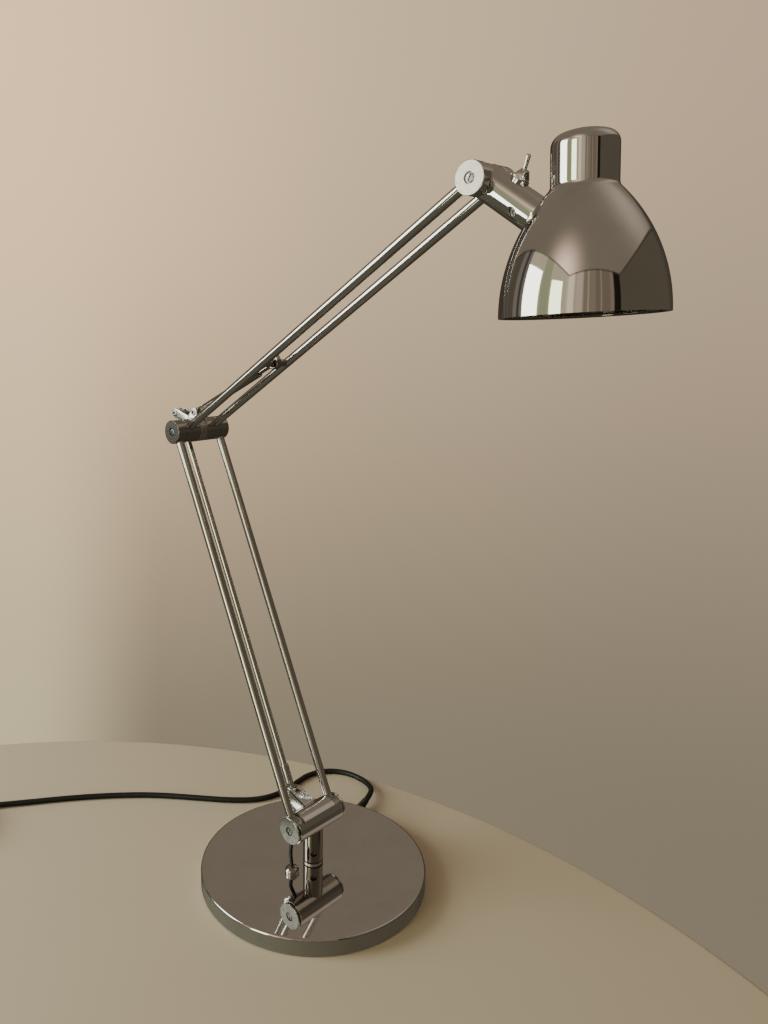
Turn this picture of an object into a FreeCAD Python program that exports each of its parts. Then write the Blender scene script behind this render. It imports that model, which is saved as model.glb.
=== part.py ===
"""Adjustable desk lamp with a disc base, two jointed arms of twin rods and a bell shade.

Millimetres. The origin is the middle of the base on its underside, +Z is up, the arms
fold in the XZ plane and reach forward along +X, and every pivot of the arms lies along Y.
"""
import FreeCAD, Part
import math
import os

V = FreeCAD.Vector
UP = V(0, 0, 1)
ACROSS = V(0, 1, 0)
MIDDLE = V(0, 0, 0)

# Base
BASE_RADIUS = 100.0
BASE_TOP = 15.5
BASE_EDGE_ROUND = 1.8
COVER_WALL = 1.5
COVER_FOOT = 0.8
PAD_RADIUS = 97.0
PAD_THICKNESS = 2.0
SKIRT_GAP = 0.6
STUD_RADIUS = 4.0
NUT_ACROSS_FLATS = 13.0
NUT_FOOT = 3.0
NUT_TOP = 9.0

# Swivel
SPIGOT_RADIUS = 5.95
SPIGOT_FLANGE_RADIUS = 8.6
SPIGOT_FLANGE_TOP = 17.0
SPIGOT_TOP = 36.0
WASHER_THICKNESS = 0.8
POST_RADIUS = 9.0
POST_FOOT = 18.0
POST_BORE_RADIUS = 6.0
POST_BORE_TOP = 37.0
SET_SCREW_HEIGHT = 27.5
SET_SCREW_RADIUS = 1.9
SET_SCREW_TURN = -42.0

# Arms, at rest
SHOULDER_HEIGHT = 57.5
LOWER_LENGTH = 366.0
LOWER_LEAN_BACK = 24.7
UPPER_LENGTH = 355.6
UPPER_RISE = 31.4
ROD_RADIUS = 3.75
LOWER_ROD_Y = 23.5
UPPER_ROD_Y = 14.5
ROD_INSET = 5.6
ROD_FIT = 0.02

# Pivots
AXLE_RADIUS = 4.0
RUNNING_FIT = 0.05
SIDE_GAP = 0.3
SHOULDER_RADIUS = 12.4
SHOULDER_BORE = 10.6
SHOULDER_HALF = 26.6
SHOULDER_WEB_HALF = 18.8
HUB_RADIUS = 10.2
HUB_INNER = 19.2
HUB_OUTER = 27.9
SHOULDER_CAP_OUTER = 29.6
NOTCH_BACK = 56.0
NOTCH_FRONT = 50.0
KNUCKLE_RADIUS = 10.8
KNUCKLE_EDGE = 0.3
ELBOW_OUTER = 29.4
ELBOW_SEAM = 19.15
RING_HALF = 4.2
HEAD_OUTER = 19.0
HEAD_SEAM = 10.0
CAP_THICKNESS = 1.7
CAP_SCREW_RADIUS = 2.7
CAP_SCREW_SINK = 0.5
CAP_SOCKET_RADIUS = 1.3
KNUCKLE_SCREW_RADIUS = 1.4
KNUCKLE_SCREW_LENGTH = 2.6
KNUCKLE_SCREW_ALONG = 7.5
KNUCKLE_SCREW_TURN = -90.0

# Parallel link and its brackets
EAR_BACK = 26.5
EAR_RISE = 14.0
STRUT_EAR_FORWARD = 2.2
STRUT_EAR_RISE = 16.6
PLATE_INNER = 4.6
PLATE_OUTER = 6.1
PIN_RADIUS = 2.2
PIN_HEAD_RADIUS = 3.4
PIN_HEAD = 1.0
LINK_RADIUS = 2.6
LINK_SLEEVE_RADIUS = 3.6
LINK_SLEEVE_START = 8.0
LINK_SLEEVE_END = 25.0
LINK_SOCKET = 13.0
TONGUE_HALF = 2.0
TONGUE_RADIUS = 4.2
BRACKET_SLOT_HALF = 2.6

# Spring strut on the upper arm
CROSSBAR_ALONG = 124.0
CROSSBAR_RADIUS = 3.0
STRUT_TUBE_RADIUS = 3.5
STRUT_TUBE_START = 6.5
STRUT_TUBE_END = 93.5
STRUT_ROD_RADIUS = 2.0
STRUT_ROD_START = 40.0
STRUT_BORE_RADIUS = 2.08
STRUT_EYE_HALF = 2.4
STRUT_EYE_WALL = 1.5
STRUT_EYE_SLACK_ALONG = 1.3
STRUT_EYE_SLACK_SIDE = 1.9
STRUT_EYE_SHIFT_ALONG = 0.6
STRUT_EYE_SHIFT_SIDE = 1.15

# Head
STEM_FALL = 33.4
STEM_RADIUS = 11.4
STEM_BORE_RADIUS = 9.6
STEM_BORE_START = 14.0
STEM_LENGTH = 60.0
STEM_TONGUE_HALF = 9.7
STEM_MOUTH_RADIUS = 11.2
STEM_SHADE_GAP = 0.4
STEM_SCREW_ALONG = 34.0
STEM_SCREW_RADIUS = 2.1
STEM_SCREW_DROP = 20.0
SWITCH_ALONG = 21.5
SWITCH_FLANGE_RADIUS = 6.1
SWITCH_FLANGE = 1.2
SWITCH_NUT_FLATS = 10.6
SWITCH_NUT = 2.4
SWITCH_DOME_RADIUS = 5.0
SWITCH_DOME = 3.0
SWITCH_BUSH_RADIUS = 3.4
LEVER_LEAN = 17.0
LEVER_BALL = 2.3
LEVER_REACH = 13.5
LEVER_FOOT_RADIUS = 1.3
LEVER_TIP_RADIUS = 1.55

# Shade, in its own frame: h along its axis from the rim, r from the axis
RIM_FORWARD = 71.4
RIM_DROP = 83.7
SHADE_LEAN_BACK = 3.3
RIM_RADIUS = 49.1
BELL_ARC_RADIUS = 104.0
NECK_RADIUS = 18.85
NECK_TOP = 95.5
CROWN_EDGE_RADIUS = 9.0
CROWN_EDGE_TURN = 66.5
SHADE_WALL = 1.0
RIM_BEAD_RADIUS = 1.1
NIPPLE_RADIUS = 5.0
NIPPLE_NUT_RADIUS = 8.0
NIPPLE_BORE_RADIUS = 3.0
NIPPLE_START = 30.0
NIPPLE_NUT_START = 44.0
NIPPLE_NUT_LENGTH = 11.0
HOLDER_RADIUS = 13.5
HOLDER_FOOT = 66.0
HOLDER_TOP = 97.0
HOLDER_BORE = 6.92
BULB_CAP_RADIUS = 6.9
BULB_CAP_FOOT = 60.0
BULB_CAP_TOP = 84.0
BULB_RADIUS = 20.0
BULB_CENTRE = 37.0
BULB_NECK_RADIUS = 6.4
BULB_NECK_START = 13.0
BULB_NECK = 9.0
BULB_WALL = 0.8
HOLDER_BOSS_RADIUS = 4.0
HOLDER_BOSS_TOP = 105.2

# Lead between base and shoulder
LEAD_RADIUS = 1.7
LEAD_HOLE_RADIUS = 2.0
LEAD_ROUTE = [V(-1.0, -25.0, 20.0), V(-5.5, -23.4, 30.5), V(-7.2, -18.6, 40.5), V(-6.0, -15.6, 49.0)]
GLAND_RADIUS = 6.2
GLAND_COLLAR = 3.2
GLAND_DOME = 6.6

# Mains cord
CORD_RADIUS = 2.8
CORD_EXIT_TURN = 108.0
CORD_EXIT_HEIGHT = 7.5
BUSH_RADIUS = 4.4
BUSH_TIP_RADIUS = 3.3
BUSH_START = 95.5
BUSH_COLLAR = 102.0
BUSH_END = 122.0
CORD_FIRST_RUN = 16.0
FLOOR_LINE = 2.85
COIL_LOW = 3.9
CORD_BENDS = [
    V(-55.0, 144.0, 4.4), V(-73.5, 150.5, FLOOR_LINE), V(-95.0, 148.0, FLOOR_LINE),
    V(-112.5, 135.0, FLOOR_LINE), V(-120.0, 114.5, FLOOR_LINE), V(-116.5, 91.0, FLOOR_LINE),
    V(-114.0, 68.0, FLOOR_LINE), V(-121.0, 44.0, FLOOR_LINE), V(-141.0, 22.0, FLOOR_LINE),
    V(-172.0, -2.0, FLOOR_LINE), V(-205.0, -28.0, FLOOR_LINE), V(-235.0, -60.0, FLOOR_LINE),
    V(-262.0, -95.0, FLOOR_LINE), V(-286.0, -131.0, FLOOR_LINE), V(-307.0, -164.0, COIL_LOW),
]
COIL_START = V(-326.0, -192.7, COIL_LOW)
COIL_PITCH = 6.4
COIL_OUTER = 41.5
COIL_TURNS_IN = 3.5
COIL_TURNS_OUT = 3.0
COIL_TAIL = 34.0
TIE_WIDTH = 9.0
TIE_WALL = 0.8
TIE_SLACK = 1.2
TIE_TURN = 100.0
PLUG_LENGTH = 36.0
PLUG_WIDTH = 30.0
PLUG_NECK_RADIUS = 5.0
PLUG_PIN_RADIUS = 2.0
PLUG_PIN_LENGTH = 19.0
PLUG_PIN_SPACING = 19.0


def heading(degrees):
    """Unit vector in the XZ plane, turned up from +X."""
    return V(math.cos(math.radians(degrees)), 0, math.sin(math.radians(degrees)))


def flat_heading(degrees):
    """Unit vector in the XY plane, turned from +X towards +Y."""
    return V(math.cos(math.radians(degrees)), math.sin(math.radians(degrees)), 0)


def at_y(point, y):
    return V(point.x, y, point.z)


LOWER_WAY = heading(90 + LOWER_LEAN_BACK)
UPPER_WAY = heading(UPPER_RISE)
STEM_WAY = heading(-STEM_FALL)
STEM_TOP_WAY = heading(90 - STEM_FALL)
SHADE_WAY = heading(90 + SHADE_LEAN_BACK)
SHADE_SIDE = heading(SHADE_LEAN_BACK)
SHOULDER = V(0, 0, SHOULDER_HEIGHT)
ELBOW = SHOULDER + LOWER_WAY * LOWER_LENGTH
HEAD = ELBOW + UPPER_WAY * UPPER_LENGTH
EAR = V(-EAR_BACK, 0, EAR_RISE)
LINK_FOOT = SHOULDER + EAR
LINK_HEAD = ELBOW + EAR
STRUT_FOOT = ELBOW + V(STRUT_EAR_FORWARD, 0, STRUT_EAR_RISE)
CROSSBAR = ELBOW + UPPER_WAY * CROSSBAR_ALONG
RIM = HEAD + V(RIM_FORWARD, 0, -RIM_DROP)


def rod(start, end, radius):
    way = end - start
    return Part.makeCylinder(radius, way.Length, start, way)


def pivot(point, radius, y0, y1):
    """Cylinder along Y around a pivot."""
    return rod(at_y(point, y0), at_y(point, y1), radius)


def disc(radius, z0, z1, x=0.0, y=0.0):
    return Part.makeCylinder(radius, z1 - z0, V(x, y, z0), UP)


def plate(points, y0, y1):
    """Flat plate with straight edges, given in the XZ plane."""
    outline = [at_y(p, y0) for p in points]
    face = Part.Face(Part.makePolygon(outline + outline[:1]))
    return face.extrude(V(0, y1 - y0, 0))


def hexagon(centre, way, flats, height, side):
    """Hexagonal prism with one corner turned to a side."""
    third = way.cross(side)
    reach = flats / math.sqrt(3)
    corners = []
    for k in range(6):
        turn = math.radians(60 * k)
        corners.append(centre + (side * math.cos(turn) + third * math.sin(turn)) * reach)
    return Part.Face(Part.makePolygon(corners + corners[:1])).extrude(way * height)


def other_side(shape):
    return shape.mirror(MIDDLE, ACROSS)


def soften(shape, radius, wanted):
    """Round the edges that a test picks."""
    return shape.makeFillet(radius, [edge for edge in shape.Edges if wanted(edge)])


def save(name, shape):
    shape = shape.removeSplitter()
    if not shape.isValid() or shape.Volume <= 0:
        raise ValueError(name + " is not a sound solid")
    shape.exportStep("parts/" + name + ".step")
    print("%-26s solids %d volume %10.1f" % (name, len(shape.Solids), shape.Volume))


# Base


def base_cover():
    """Polished disc with a turned-down skirt."""
    outer = disc(BASE_RADIUS, COVER_FOOT, BASE_TOP)
    outer = soften(outer, BASE_EDGE_ROUND, lambda e: abs(e.CenterOfMass.z - BASE_TOP) < 0.01)
    hollow = disc(BASE_RADIUS - COVER_WALL, COVER_FOOT - 1, BASE_TOP - COVER_WALL)
    cover = outer.cut(hollow)
    cover = cover.cut(disc(STUD_RADIUS + 0.2, 0, BASE_TOP + 1))
    gland = LEAD_ROUTE[0]
    cover = cover.cut(disc(GLAND_RADIUS - 2.0, 0, BASE_TOP + 1, gland.x, gland.y))
    way = flat_heading(CORD_EXIT_TURN)
    level = UP * CORD_EXIT_HEIGHT
    return cover.cut(rod(way * BUSH_START + level, way * BUSH_END + level, BUSH_RADIUS + ROD_FIT))


def base_weight():
    """Cast disc inside the cover, with a wire trough and a pocket for the nut."""
    weight = disc(BASE_RADIUS - COVER_WALL - SKIRT_GAP, PAD_THICKNESS, BASE_TOP - COVER_WALL)
    weight = weight.cut(disc(STUD_RADIUS + 0.2, 0, BASE_TOP))
    weight = weight.cut(disc(NUT_ACROSS_FLATS * 0.7, 0, NUT_TOP))
    gland = LEAD_ROUTE[0]
    weight = weight.cut(disc(GLAND_RADIUS, 0, BASE_TOP, gland.x, gland.y))
    start = V(gland.x, gland.y, CORD_EXIT_HEIGHT)
    end = flat_heading(CORD_EXIT_TURN) * BASE_RADIUS + UP * CORD_EXIT_HEIGHT
    return weight.cut(rod(start, end, BUSH_RADIUS + 0.4))


def spigot():
    """Stud clamped in the base, with the pin that the post turns on."""
    shape = disc(STUD_RADIUS, NUT_FOOT, BASE_TOP)
    shape = shape.fuse(disc(SPIGOT_FLANGE_RADIUS, BASE_TOP, SPIGOT_FLANGE_TOP))
    shape = shape.fuse(disc(SPIGOT_RADIUS, SPIGOT_FLANGE_TOP, SPIGOT_TOP))
    groove_half = SET_SCREW_RADIUS + 0.5
    groove = disc(SPIGOT_RADIUS + 1, SET_SCREW_HEIGHT - groove_half, SET_SCREW_HEIGHT + groove_half)
    groove = groove.cut(disc(STUD_RADIUS + 0.4, 0, SPIGOT_TOP))
    return shape.cut(groove)


def cable_gland():
    """Domed gland on the base for the lead to the shoulder."""
    foot = LEAD_ROUTE[0]
    collar = disc(GLAND_RADIUS, BASE_TOP, BASE_TOP + GLAND_COLLAR, foot.x, foot.y)
    dome_radius = (GLAND_RADIUS ** 2 + (GLAND_DOME - GLAND_COLLAR) ** 2) / (2 * (GLAND_DOME - GLAND_COLLAR))
    ball = Part.makeSphere(dome_radius, V(foot.x, foot.y, BASE_TOP + GLAND_DOME - dome_radius))
    dome = disc(GLAND_RADIUS, BASE_TOP + GLAND_COLLAR, BASE_TOP + GLAND_DOME, foot.x, foot.y).common(ball)
    thread = disc(GLAND_RADIUS - 2.2, BASE_TOP - COVER_WALL - 2, BASE_TOP, foot.x, foot.y)
    way = (LEAD_ROUTE[1] - foot).normalize()
    bore = rod(foot, foot + way * 12, LEAD_RADIUS + ROD_FIT)
    return collar.fuse([dome, thread]).cut(bore)


def cord_bush():
    """Strain relief in the skirt, with a tapering tail."""
    way = flat_heading(CORD_EXIT_TURN)
    level = UP * CORD_EXIT_HEIGHT
    body = rod(way * BUSH_START + level, way * BUSH_COLLAR + level, BUSH_RADIUS)
    tail = Part.makeCone(BUSH_RADIUS, BUSH_TIP_RADIUS, BUSH_END - BUSH_COLLAR, way * BUSH_COLLAR + level, way)
    collar = rod(way * (BASE_RADIUS + 0.1) + level, way * (BASE_RADIUS + 1.6) + level, BUSH_RADIUS + 1.4)
    return body.fuse([tail, collar])


def build_base():
    save("base_cover", base_cover())
    save("base_weight", base_weight())
    save("base_pad", disc(PAD_RADIUS, 0, PAD_THICKNESS))
    save("spigot", spigot())
    nut = hexagon(V(0, 0, NUT_FOOT), UP, NUT_ACROSS_FLATS, NUT_TOP - NUT_FOOT, V(1, 0, 0))
    save("spigot_nut", nut.cut(disc(STUD_RADIUS + ROD_FIT, 0, BASE_TOP)))
    washer = disc(POST_RADIUS, SPIGOT_FLANGE_TOP, SPIGOT_FLANGE_TOP + WASHER_THICKNESS)
    save("swivel_washer", washer.cut(disc(SPIGOT_RADIUS + ROD_FIT, 0, SPIGOT_TOP)))
    save("cable_gland", cable_gland())
    save("cord_bush", cord_bush())


# Cords


def arc_between(start, way, end):
    """Arc that leaves one point along a direction and reaches another."""
    chord = end - start
    along = V(chord).normalize()
    side = way - along * way.dot(along)
    middle = (start + end) * 0.5
    if side.Length < 1e-7:
        return Part.LineSegment(start, end)
    lean = way.getAngle(along)
    middle = middle + side.normalize() * (chord.Length * 0.5 * math.tan(lean / 2))
    return Part.Arc(start, middle, end)


def bent_route(points, name):
    """Straight runs joined by tangent arcs."""
    edges = []
    radii = []
    at = points[0]
    for before, corner, after in zip(points, points[1:], points[2:]):
        way_in = (corner - before).normalize()
        way_out = (after - corner).normalize()
        half_turn = way_in.getAngle(way_out) / 2
        cut_back = 0.45 * min((corner - before).Length, (after - corner).Length)
        radii.append(cut_back / math.tan(half_turn))
        arc_start = corner - way_in * cut_back
        arc_end = corner + way_out * cut_back
        edges.append(Part.LineSegment(at, arc_start).toShape())
        edges.append(arc_between(arc_start, way_in, arc_end).toShape())
        at = arc_end
    edges.append(Part.LineSegment(at, points[-1]).toShape())
    print(name, "bend radii", " ".join("%.0f" % r for r in radii))
    return edges


def tube(edges, radius, name):
    """Round cord swept along a route, with its volume set against section times length."""
    path = Part.Wire(edges)
    start = path.Edges[0].valueAt(path.Edges[0].FirstParameter)
    way = path.Edges[0].tangentAt(path.Edges[0].FirstParameter)
    section = Part.Wire(Part.makeCircle(radius, start, way))
    solid = path.makePipeShell([section], True, False)
    share = solid.Volume / (math.pi * radius ** 2 * path.Length)
    print(name, "length %.1f volume share %.4f" % (path.Length, share))
    return solid


def coil_turn():
    """Total turn of the coil in radians: in, over the climb, and out again."""
    return 2 * math.pi * (COIL_TURNS_IN + 0.5 + COIL_TURNS_OUT)


def coil_place(turn, frame):
    """Point of the coil's middle line after a turn: spirals in, climbs a layer, spirals out."""
    centre, first = frame
    per_radian = COIL_PITCH / (2 * math.pi)
    turn_in = 2 * math.pi * COIL_TURNS_IN
    reverse = turn_in + math.pi / 2
    radius = COIL_OUTER - per_radian * (reverse - abs(turn - reverse))
    if turn > reverse:
        radius = COIL_OUTER - per_radian * (2 * reverse - turn)
    climb = min(max((turn - turn_in) / math.pi, 0.0), 1.0)
    rise = COIL_PITCH * (climb - math.sin(2 * math.pi * climb) / (2 * math.pi))
    place = first + turn
    return centre + V(radius * math.cos(place), radius * math.sin(place), rise)


def coil_way(turn, frame):
    step = 1e-4
    return (coil_place(turn + step, frame) - coil_place(turn - step, frame)).normalize()


def biarc(start, way_in, end, way_out):
    """Two arcs that meet smoothly, between two points with known directions."""
    gap = end - start
    both = way_in + way_out
    bend = 2 * (1 - way_in.dot(way_out))
    reach = (math.sqrt(gap.dot(both) ** 2 + bend * gap.dot(gap)) - gap.dot(both)) / bend
    joint = (start + end + (way_in - way_out) * reach) * 0.5
    second = arc_between(end, way_out * -1, joint)
    second.reverse()
    return [arc_between(start, way_in, joint).toShape(), second.toShape()]


def coil_frame(arrive):
    """Centre of the coil and the angle of its first point, for a cord that arrives along a direction."""
    lead_in = COIL_START + arrive * (2 * CORD_RADIUS)
    out = V(arrive.y, -arrive.x, 0)
    centre = lead_in - out * COIL_OUTER
    return centre, math.atan2(out.y, out.x)


def least_gap(frame):
    """Least free space between one turn of the coil and another, measured on points."""
    count = 720
    points = [coil_place(coil_turn() * k / count, frame) for k in range(count + 1)]
    apart = 40
    least = min((points[i] - points[j]).Length for i in range(count + 1) for j in range(i + apart, count + 1))
    return least - 2 * CORD_RADIUS


def coil_edges(arrive, frame):
    """Straight end, turns as biarcs of a quarter turn, straight end."""
    first = coil_place(0.0, frame)
    edges = [Part.LineSegment(COIL_START, first).toShape()]
    quarters = int(round(coil_turn() / (math.pi / 2)))
    way_in = arrive
    for k in range(quarters):
        start = coil_place(math.pi / 2 * k, frame)
        end = coil_place(math.pi / 2 * (k + 1), frame)
        way_out = coil_way(math.pi / 2 * (k + 1), frame)
        if k == quarters - 1:
            way_out = V(way_out.x, way_out.y, 0).normalize()
        edges += biarc(start, way_in, end, way_out)
        way_in = way_out
    last = coil_place(coil_turn(), frame)
    end = last + way_in * COIL_TAIL
    edges.append(Part.LineSegment(last, end).toShape())
    return edges, end, way_in


def coil_tie(frame):
    """Strap round the bundle of turns."""
    centre = frame[0]
    inner = COIL_OUTER - COIL_PITCH * (COIL_TURNS_IN + 0.25) - CORD_RADIUS - TIE_SLACK
    outer = COIL_OUTER + CORD_RADIUS + TIE_SLACK
    low = COIL_LOW - CORD_RADIUS - 0.2
    high = COIL_LOW + COIL_PITCH + CORD_RADIUS + 0.3
    bundle = Part.makeBox(outer - inner, TIE_WIDTH, high - low, V(inner, -TIE_WIDTH / 2, low))
    strap = Part.makeBox(outer - inner + 2 * TIE_WALL, TIE_WIDTH, high - low + 2 * TIE_WALL,
                         V(inner - TIE_WALL, -TIE_WIDTH / 2, low - TIE_WALL))
    strap = soften(strap, 2.0, lambda e: abs(e.tangentAt(e.FirstParameter).y) > 0.99)
    strap = strap.cut(bundle)
    strap.rotate(MIDDLE, UP, TIE_TURN)
    strap.translate(V(centre.x, centre.y, 0))
    return strap


def plug(end, way):
    """Moulded two-pin plug in line with the end of the cord."""
    side = UP.cross(way)
    half_height = end.z - 0.1
    sections = []
    half_sizes = ((0.0, PLUG_NECK_RADIUS, PLUG_NECK_RADIUS - 0.2), (12.0, 9.6, 7.4),
                  (24.0, PLUG_WIDTH / 2, half_height), (PLUG_LENGTH, PLUG_WIDTH / 2, half_height))
    for along, half_width, half_thick in half_sizes:
        shape = Part.Ellipse(MIDDLE, half_width, half_thick).toShape()
        place = FreeCAD.Matrix(side.x, 0, way.x, 0, side.y, 0, way.y, 0, 0, 1, 0, 0, 0, 0, 0, 1)
        shape = shape.transformGeometry(place)
        shape.translate(end + way * along)
        sections.append(Part.Wire(shape))
    return Part.makeLoft(sections, True, True)


def build_cords():
    way = flat_heading(CORD_EXIT_TURN)
    exit_point = way * BUSH_END + UP * CORD_EXIT_HEIGHT
    route = [exit_point, exit_point + way * CORD_FIRST_RUN] + CORD_BENDS + [COIL_START]
    save("mains_cord", tube(bent_route(route, "mains cord"), CORD_RADIUS, "mains cord"))
    arrive = COIL_START - CORD_BENDS[-1]
    arrive = V(arrive.x, arrive.y, 0).normalize()
    frame = coil_frame(arrive)
    edges, end, end_way = coil_edges(arrive, frame)
    save("cord_coil", tube(edges, CORD_RADIUS, "cord coil"))
    print("coil least gap to itself %.2f" % least_gap(frame))
    save("coil_tie", coil_tie(frame))
    save("plug_body", plug(end, end_way))
    face = end + end_way * PLUG_LENGTH
    side = UP.cross(end_way) * (PLUG_PIN_SPACING / 2)
    pins = [rod(face + s, face + s + end_way * PLUG_PIN_LENGTH, PLUG_PIN_RADIUS) for s in (side, side * -1)]
    save("plug_pins", Part.makeCompound(pins))
    save("jumper_lead", tube(bent_route(LEAD_ROUTE, "jumper lead"), LEAD_RADIUS, "jumper lead"))


# Shoulder


def shoulder_post():
    post = disc(POST_RADIUS, POST_FOOT, SHOULDER_HEIGHT)
    post = post.cut(pivot(SHOULDER, SHOULDER_RADIUS, -SHOULDER_HALF, SHOULDER_HALF))
    post = post.cut(disc(POST_BORE_RADIUS, 0, POST_BORE_TOP))
    level = UP * SET_SCREW_HEIGHT
    way = flat_heading(SET_SCREW_TURN)
    return post.cut(rod(level, level + way * (POST_RADIUS + 2), SET_SCREW_RADIUS + ROD_FIT))


def post_set_screw():
    level = UP * SET_SCREW_HEIGHT
    way = flat_heading(SET_SCREW_TURN)
    tip = level + way * (STUD_RADIUS + 0.9)
    screw = rod(tip, level + way * (POST_RADIUS - 0.4), SET_SCREW_RADIUS)
    socket = hexagon(level + way * (POST_RADIUS - 2.0), way, 1.8, 3, UP)
    return screw.cut(socket)


def swing_notch(y0, y1):
    """Sector cut out of the top of the shoulder tube for a rod to swing in."""
    reach = SHOULDER_RADIUS * 2.5
    angles = [90 - NOTCH_FRONT, 90 - NOTCH_FRONT / 2, 90, 90 + NOTCH_BACK / 2, 90 + NOTCH_BACK]
    points = [SHOULDER] + [SHOULDER + heading(a) * reach for a in angles]
    return plate(points, y0, y1)


def shoulder_tube():
    """Cross tube that the arm's hubs turn in, with a solid middle for the axle."""
    tube_shape = pivot(SHOULDER, SHOULDER_RADIUS, -SHOULDER_HALF, SHOULDER_HALF)
    cuts = [pivot(SHOULDER, AXLE_RADIUS + RUNNING_FIT, -SHOULDER_HALF, SHOULDER_HALF)]
    for sign in (-1, 1):
        y0, y1 = sorted((sign * SHOULDER_WEB_HALF, sign * (SHOULDER_HALF + 1)))
        cuts.append(pivot(SHOULDER, SHOULDER_BORE, y0, y1))
        cuts.append(swing_notch(y0, y1))
    lead_end = LEAD_ROUTE[-1]
    lead_way = (lead_end - LEAD_ROUTE[-2]).normalize()
    cuts.append(rod(lead_end - lead_way * 8, lead_end + lead_way * 0.6, LEAD_HOLE_RADIUS))
    return tube_shape.cut(cuts)


def link_bracket():
    """Folded bracket behind the shoulder: two side plates and a slotted web."""
    outline = [V(-10.5, 0, 2.0), V(-3.5, 0, 10.5), V(-5.0, 0, 12.6), V(-23.5, 0, 19.2), V(-29.5, 0, 18.6),
               V(-31.2, 0, 14.5), V(-29.5, 0, 10.2)]
    points = [SHOULDER + p for p in outline]
    sides = plate(points, PLATE_INNER, PLATE_OUTER).fuse(plate(points, -PLATE_OUTER, -PLATE_INNER))
    web = [SHOULDER + p for p in (V(-3.5, 0, 10.5), V(-5.0, 0, 12.6), V(-23.5, 0, 19.2), V(-23.1, 0, 17.7))]
    web = plate(web, -PLATE_OUTER, PLATE_OUTER)
    slot_end = LINK_FOOT.x + 14.5
    slot = Part.makeBox(30, 2 * BRACKET_SLOT_HALF, 60, V(slot_end - 30, -BRACKET_SLOT_HALF, SHOULDER_HEIGHT))
    bracket = sides.fuse(web.cut(slot))
    bracket = bracket.cut(pivot(SHOULDER, SHOULDER_RADIUS, -SHOULDER_HALF, SHOULDER_HALF))
    return bracket.cut(pivot(LINK_FOOT, PIN_RADIUS + ROD_FIT, -PLATE_OUTER, PLATE_OUTER))


def headed_pin(point):
    """Rivet through two side plates."""
    pin = pivot(point, PIN_RADIUS, -PLATE_OUTER - PIN_HEAD, PLATE_OUTER + PIN_HEAD)
    heads = [pivot(point, PIN_HEAD_RADIUS, PLATE_OUTER, PLATE_OUTER + PIN_HEAD),
             pivot(point, PIN_HEAD_RADIUS, -PLATE_OUTER - PIN_HEAD, -PLATE_OUTER)]
    return pin.fuse(heads)


def build_shoulder():
    save("shoulder_post", shoulder_post())
    save("shoulder_tube", shoulder_tube())
    save("post_set_screw", post_set_screw())
    save("link_bracket", link_bracket())
    save("bracket_pin", headed_pin(LINK_FOOT))


# Arms


def end_cap(point, radius, outer):
    """Turned disc on the near end of a pivot, with a recess for its screw."""
    cap = pivot(point, radius, -outer, -outer + CAP_THICKNESS)
    cap = soften(cap, KNUCKLE_EDGE, lambda e: abs(e.CenterOfMass.y + outer) < 0.01)
    return cap.cut(pivot(point, CAP_SCREW_RADIUS + 0.1, -outer - 1, -outer + CAP_THICKNESS + 1))


def cap_screws(point, outer, foot):
    """Socket screws in the two end caps of one pivot."""
    top = -outer + CAP_SCREW_SINK
    screw = pivot(point, CAP_SCREW_RADIUS, top, -foot)
    screw = screw.cut(hexagon(at_y(point, top), ACROSS, 2 * CAP_SOCKET_RADIUS, 1.0, UP))
    return [screw, other_side(screw)]


def knuckle(point, radius, y0, y1, rod_way, rod_y, bore):
    """Turned knuckle with an axle bore and a radial hole for its rod."""
    body = pivot(point, radius, y0, y1)
    body = soften(body, KNUCKLE_EDGE, lambda e: min(abs(e.CenterOfMass.y - y) for y in (y0, y1)) < 0.01)
    centre = at_y(point, rod_y)
    hole = rod(centre + rod_way * ROD_INSET, centre + rod_way * (radius + 2), ROD_RADIUS + ROD_FIT)
    return body.cut([pivot(point, bore, y0 - 1, y1 + 1), hole])


def end_knuckle(point, outer, seam, rod_way, rod_y):
    """Near outer knuckle of a pivot, with its end face turned in one and a recess for the screw."""
    seat = -outer + CAP_THICKNESS
    body = knuckle(point, KNUCKLE_RADIUS, -outer, -seam, rod_way, rod_y, CAP_SCREW_RADIUS + ROD_FIT)
    return body.cut(pivot(point, AXLE_RADIUS + ROD_FIT, seat, 0))


def arm_rod(start, end, y):
    way = (end - start).normalize()
    return rod(at_y(start, y) + way * ROD_INSET, at_y(end, y) - way * ROD_INSET, ROD_RADIUS)


def save_pair(stem, near):
    """Near piece and its mirror image on the far side."""
    save(stem + "_near", near)
    save(stem + "_far", other_side(near))


def build_lower_arm():
    hub = knuckle(SHOULDER, HUB_RADIUS, -HUB_OUTER, -HUB_INNER, LOWER_WAY, -LOWER_ROD_Y, AXLE_RADIUS + ROD_FIT)
    save_pair("shoulder_hub", hub)
    save_pair("shoulder_cap", end_cap(SHOULDER, SHOULDER_RADIUS, SHOULDER_CAP_OUTER))
    shoulder_end = SHOULDER_CAP_OUTER - CAP_THICKNESS
    save("shoulder_axle", pivot(SHOULDER, AXLE_RADIUS, -shoulder_end, shoulder_end))
    save_pair("lower_rod", arm_rod(SHOULDER, ELBOW, -LOWER_ROD_Y))
    save_pair("elbow_outer_knuckle", end_knuckle(ELBOW, ELBOW_OUTER, ELBOW_SEAM, LOWER_WAY * -1, -LOWER_ROD_Y))
    elbow_end = ELBOW_OUTER - CAP_THICKNESS
    save("elbow_axle", pivot(ELBOW, AXLE_RADIUS, -elbow_end, elbow_end))
    screws = cap_screws(SHOULDER, SHOULDER_CAP_OUTER, shoulder_end) + cap_screws(ELBOW, ELBOW_OUTER, elbow_end)
    save("lower_cap_screws", Part.makeCompound(screws))


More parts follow.
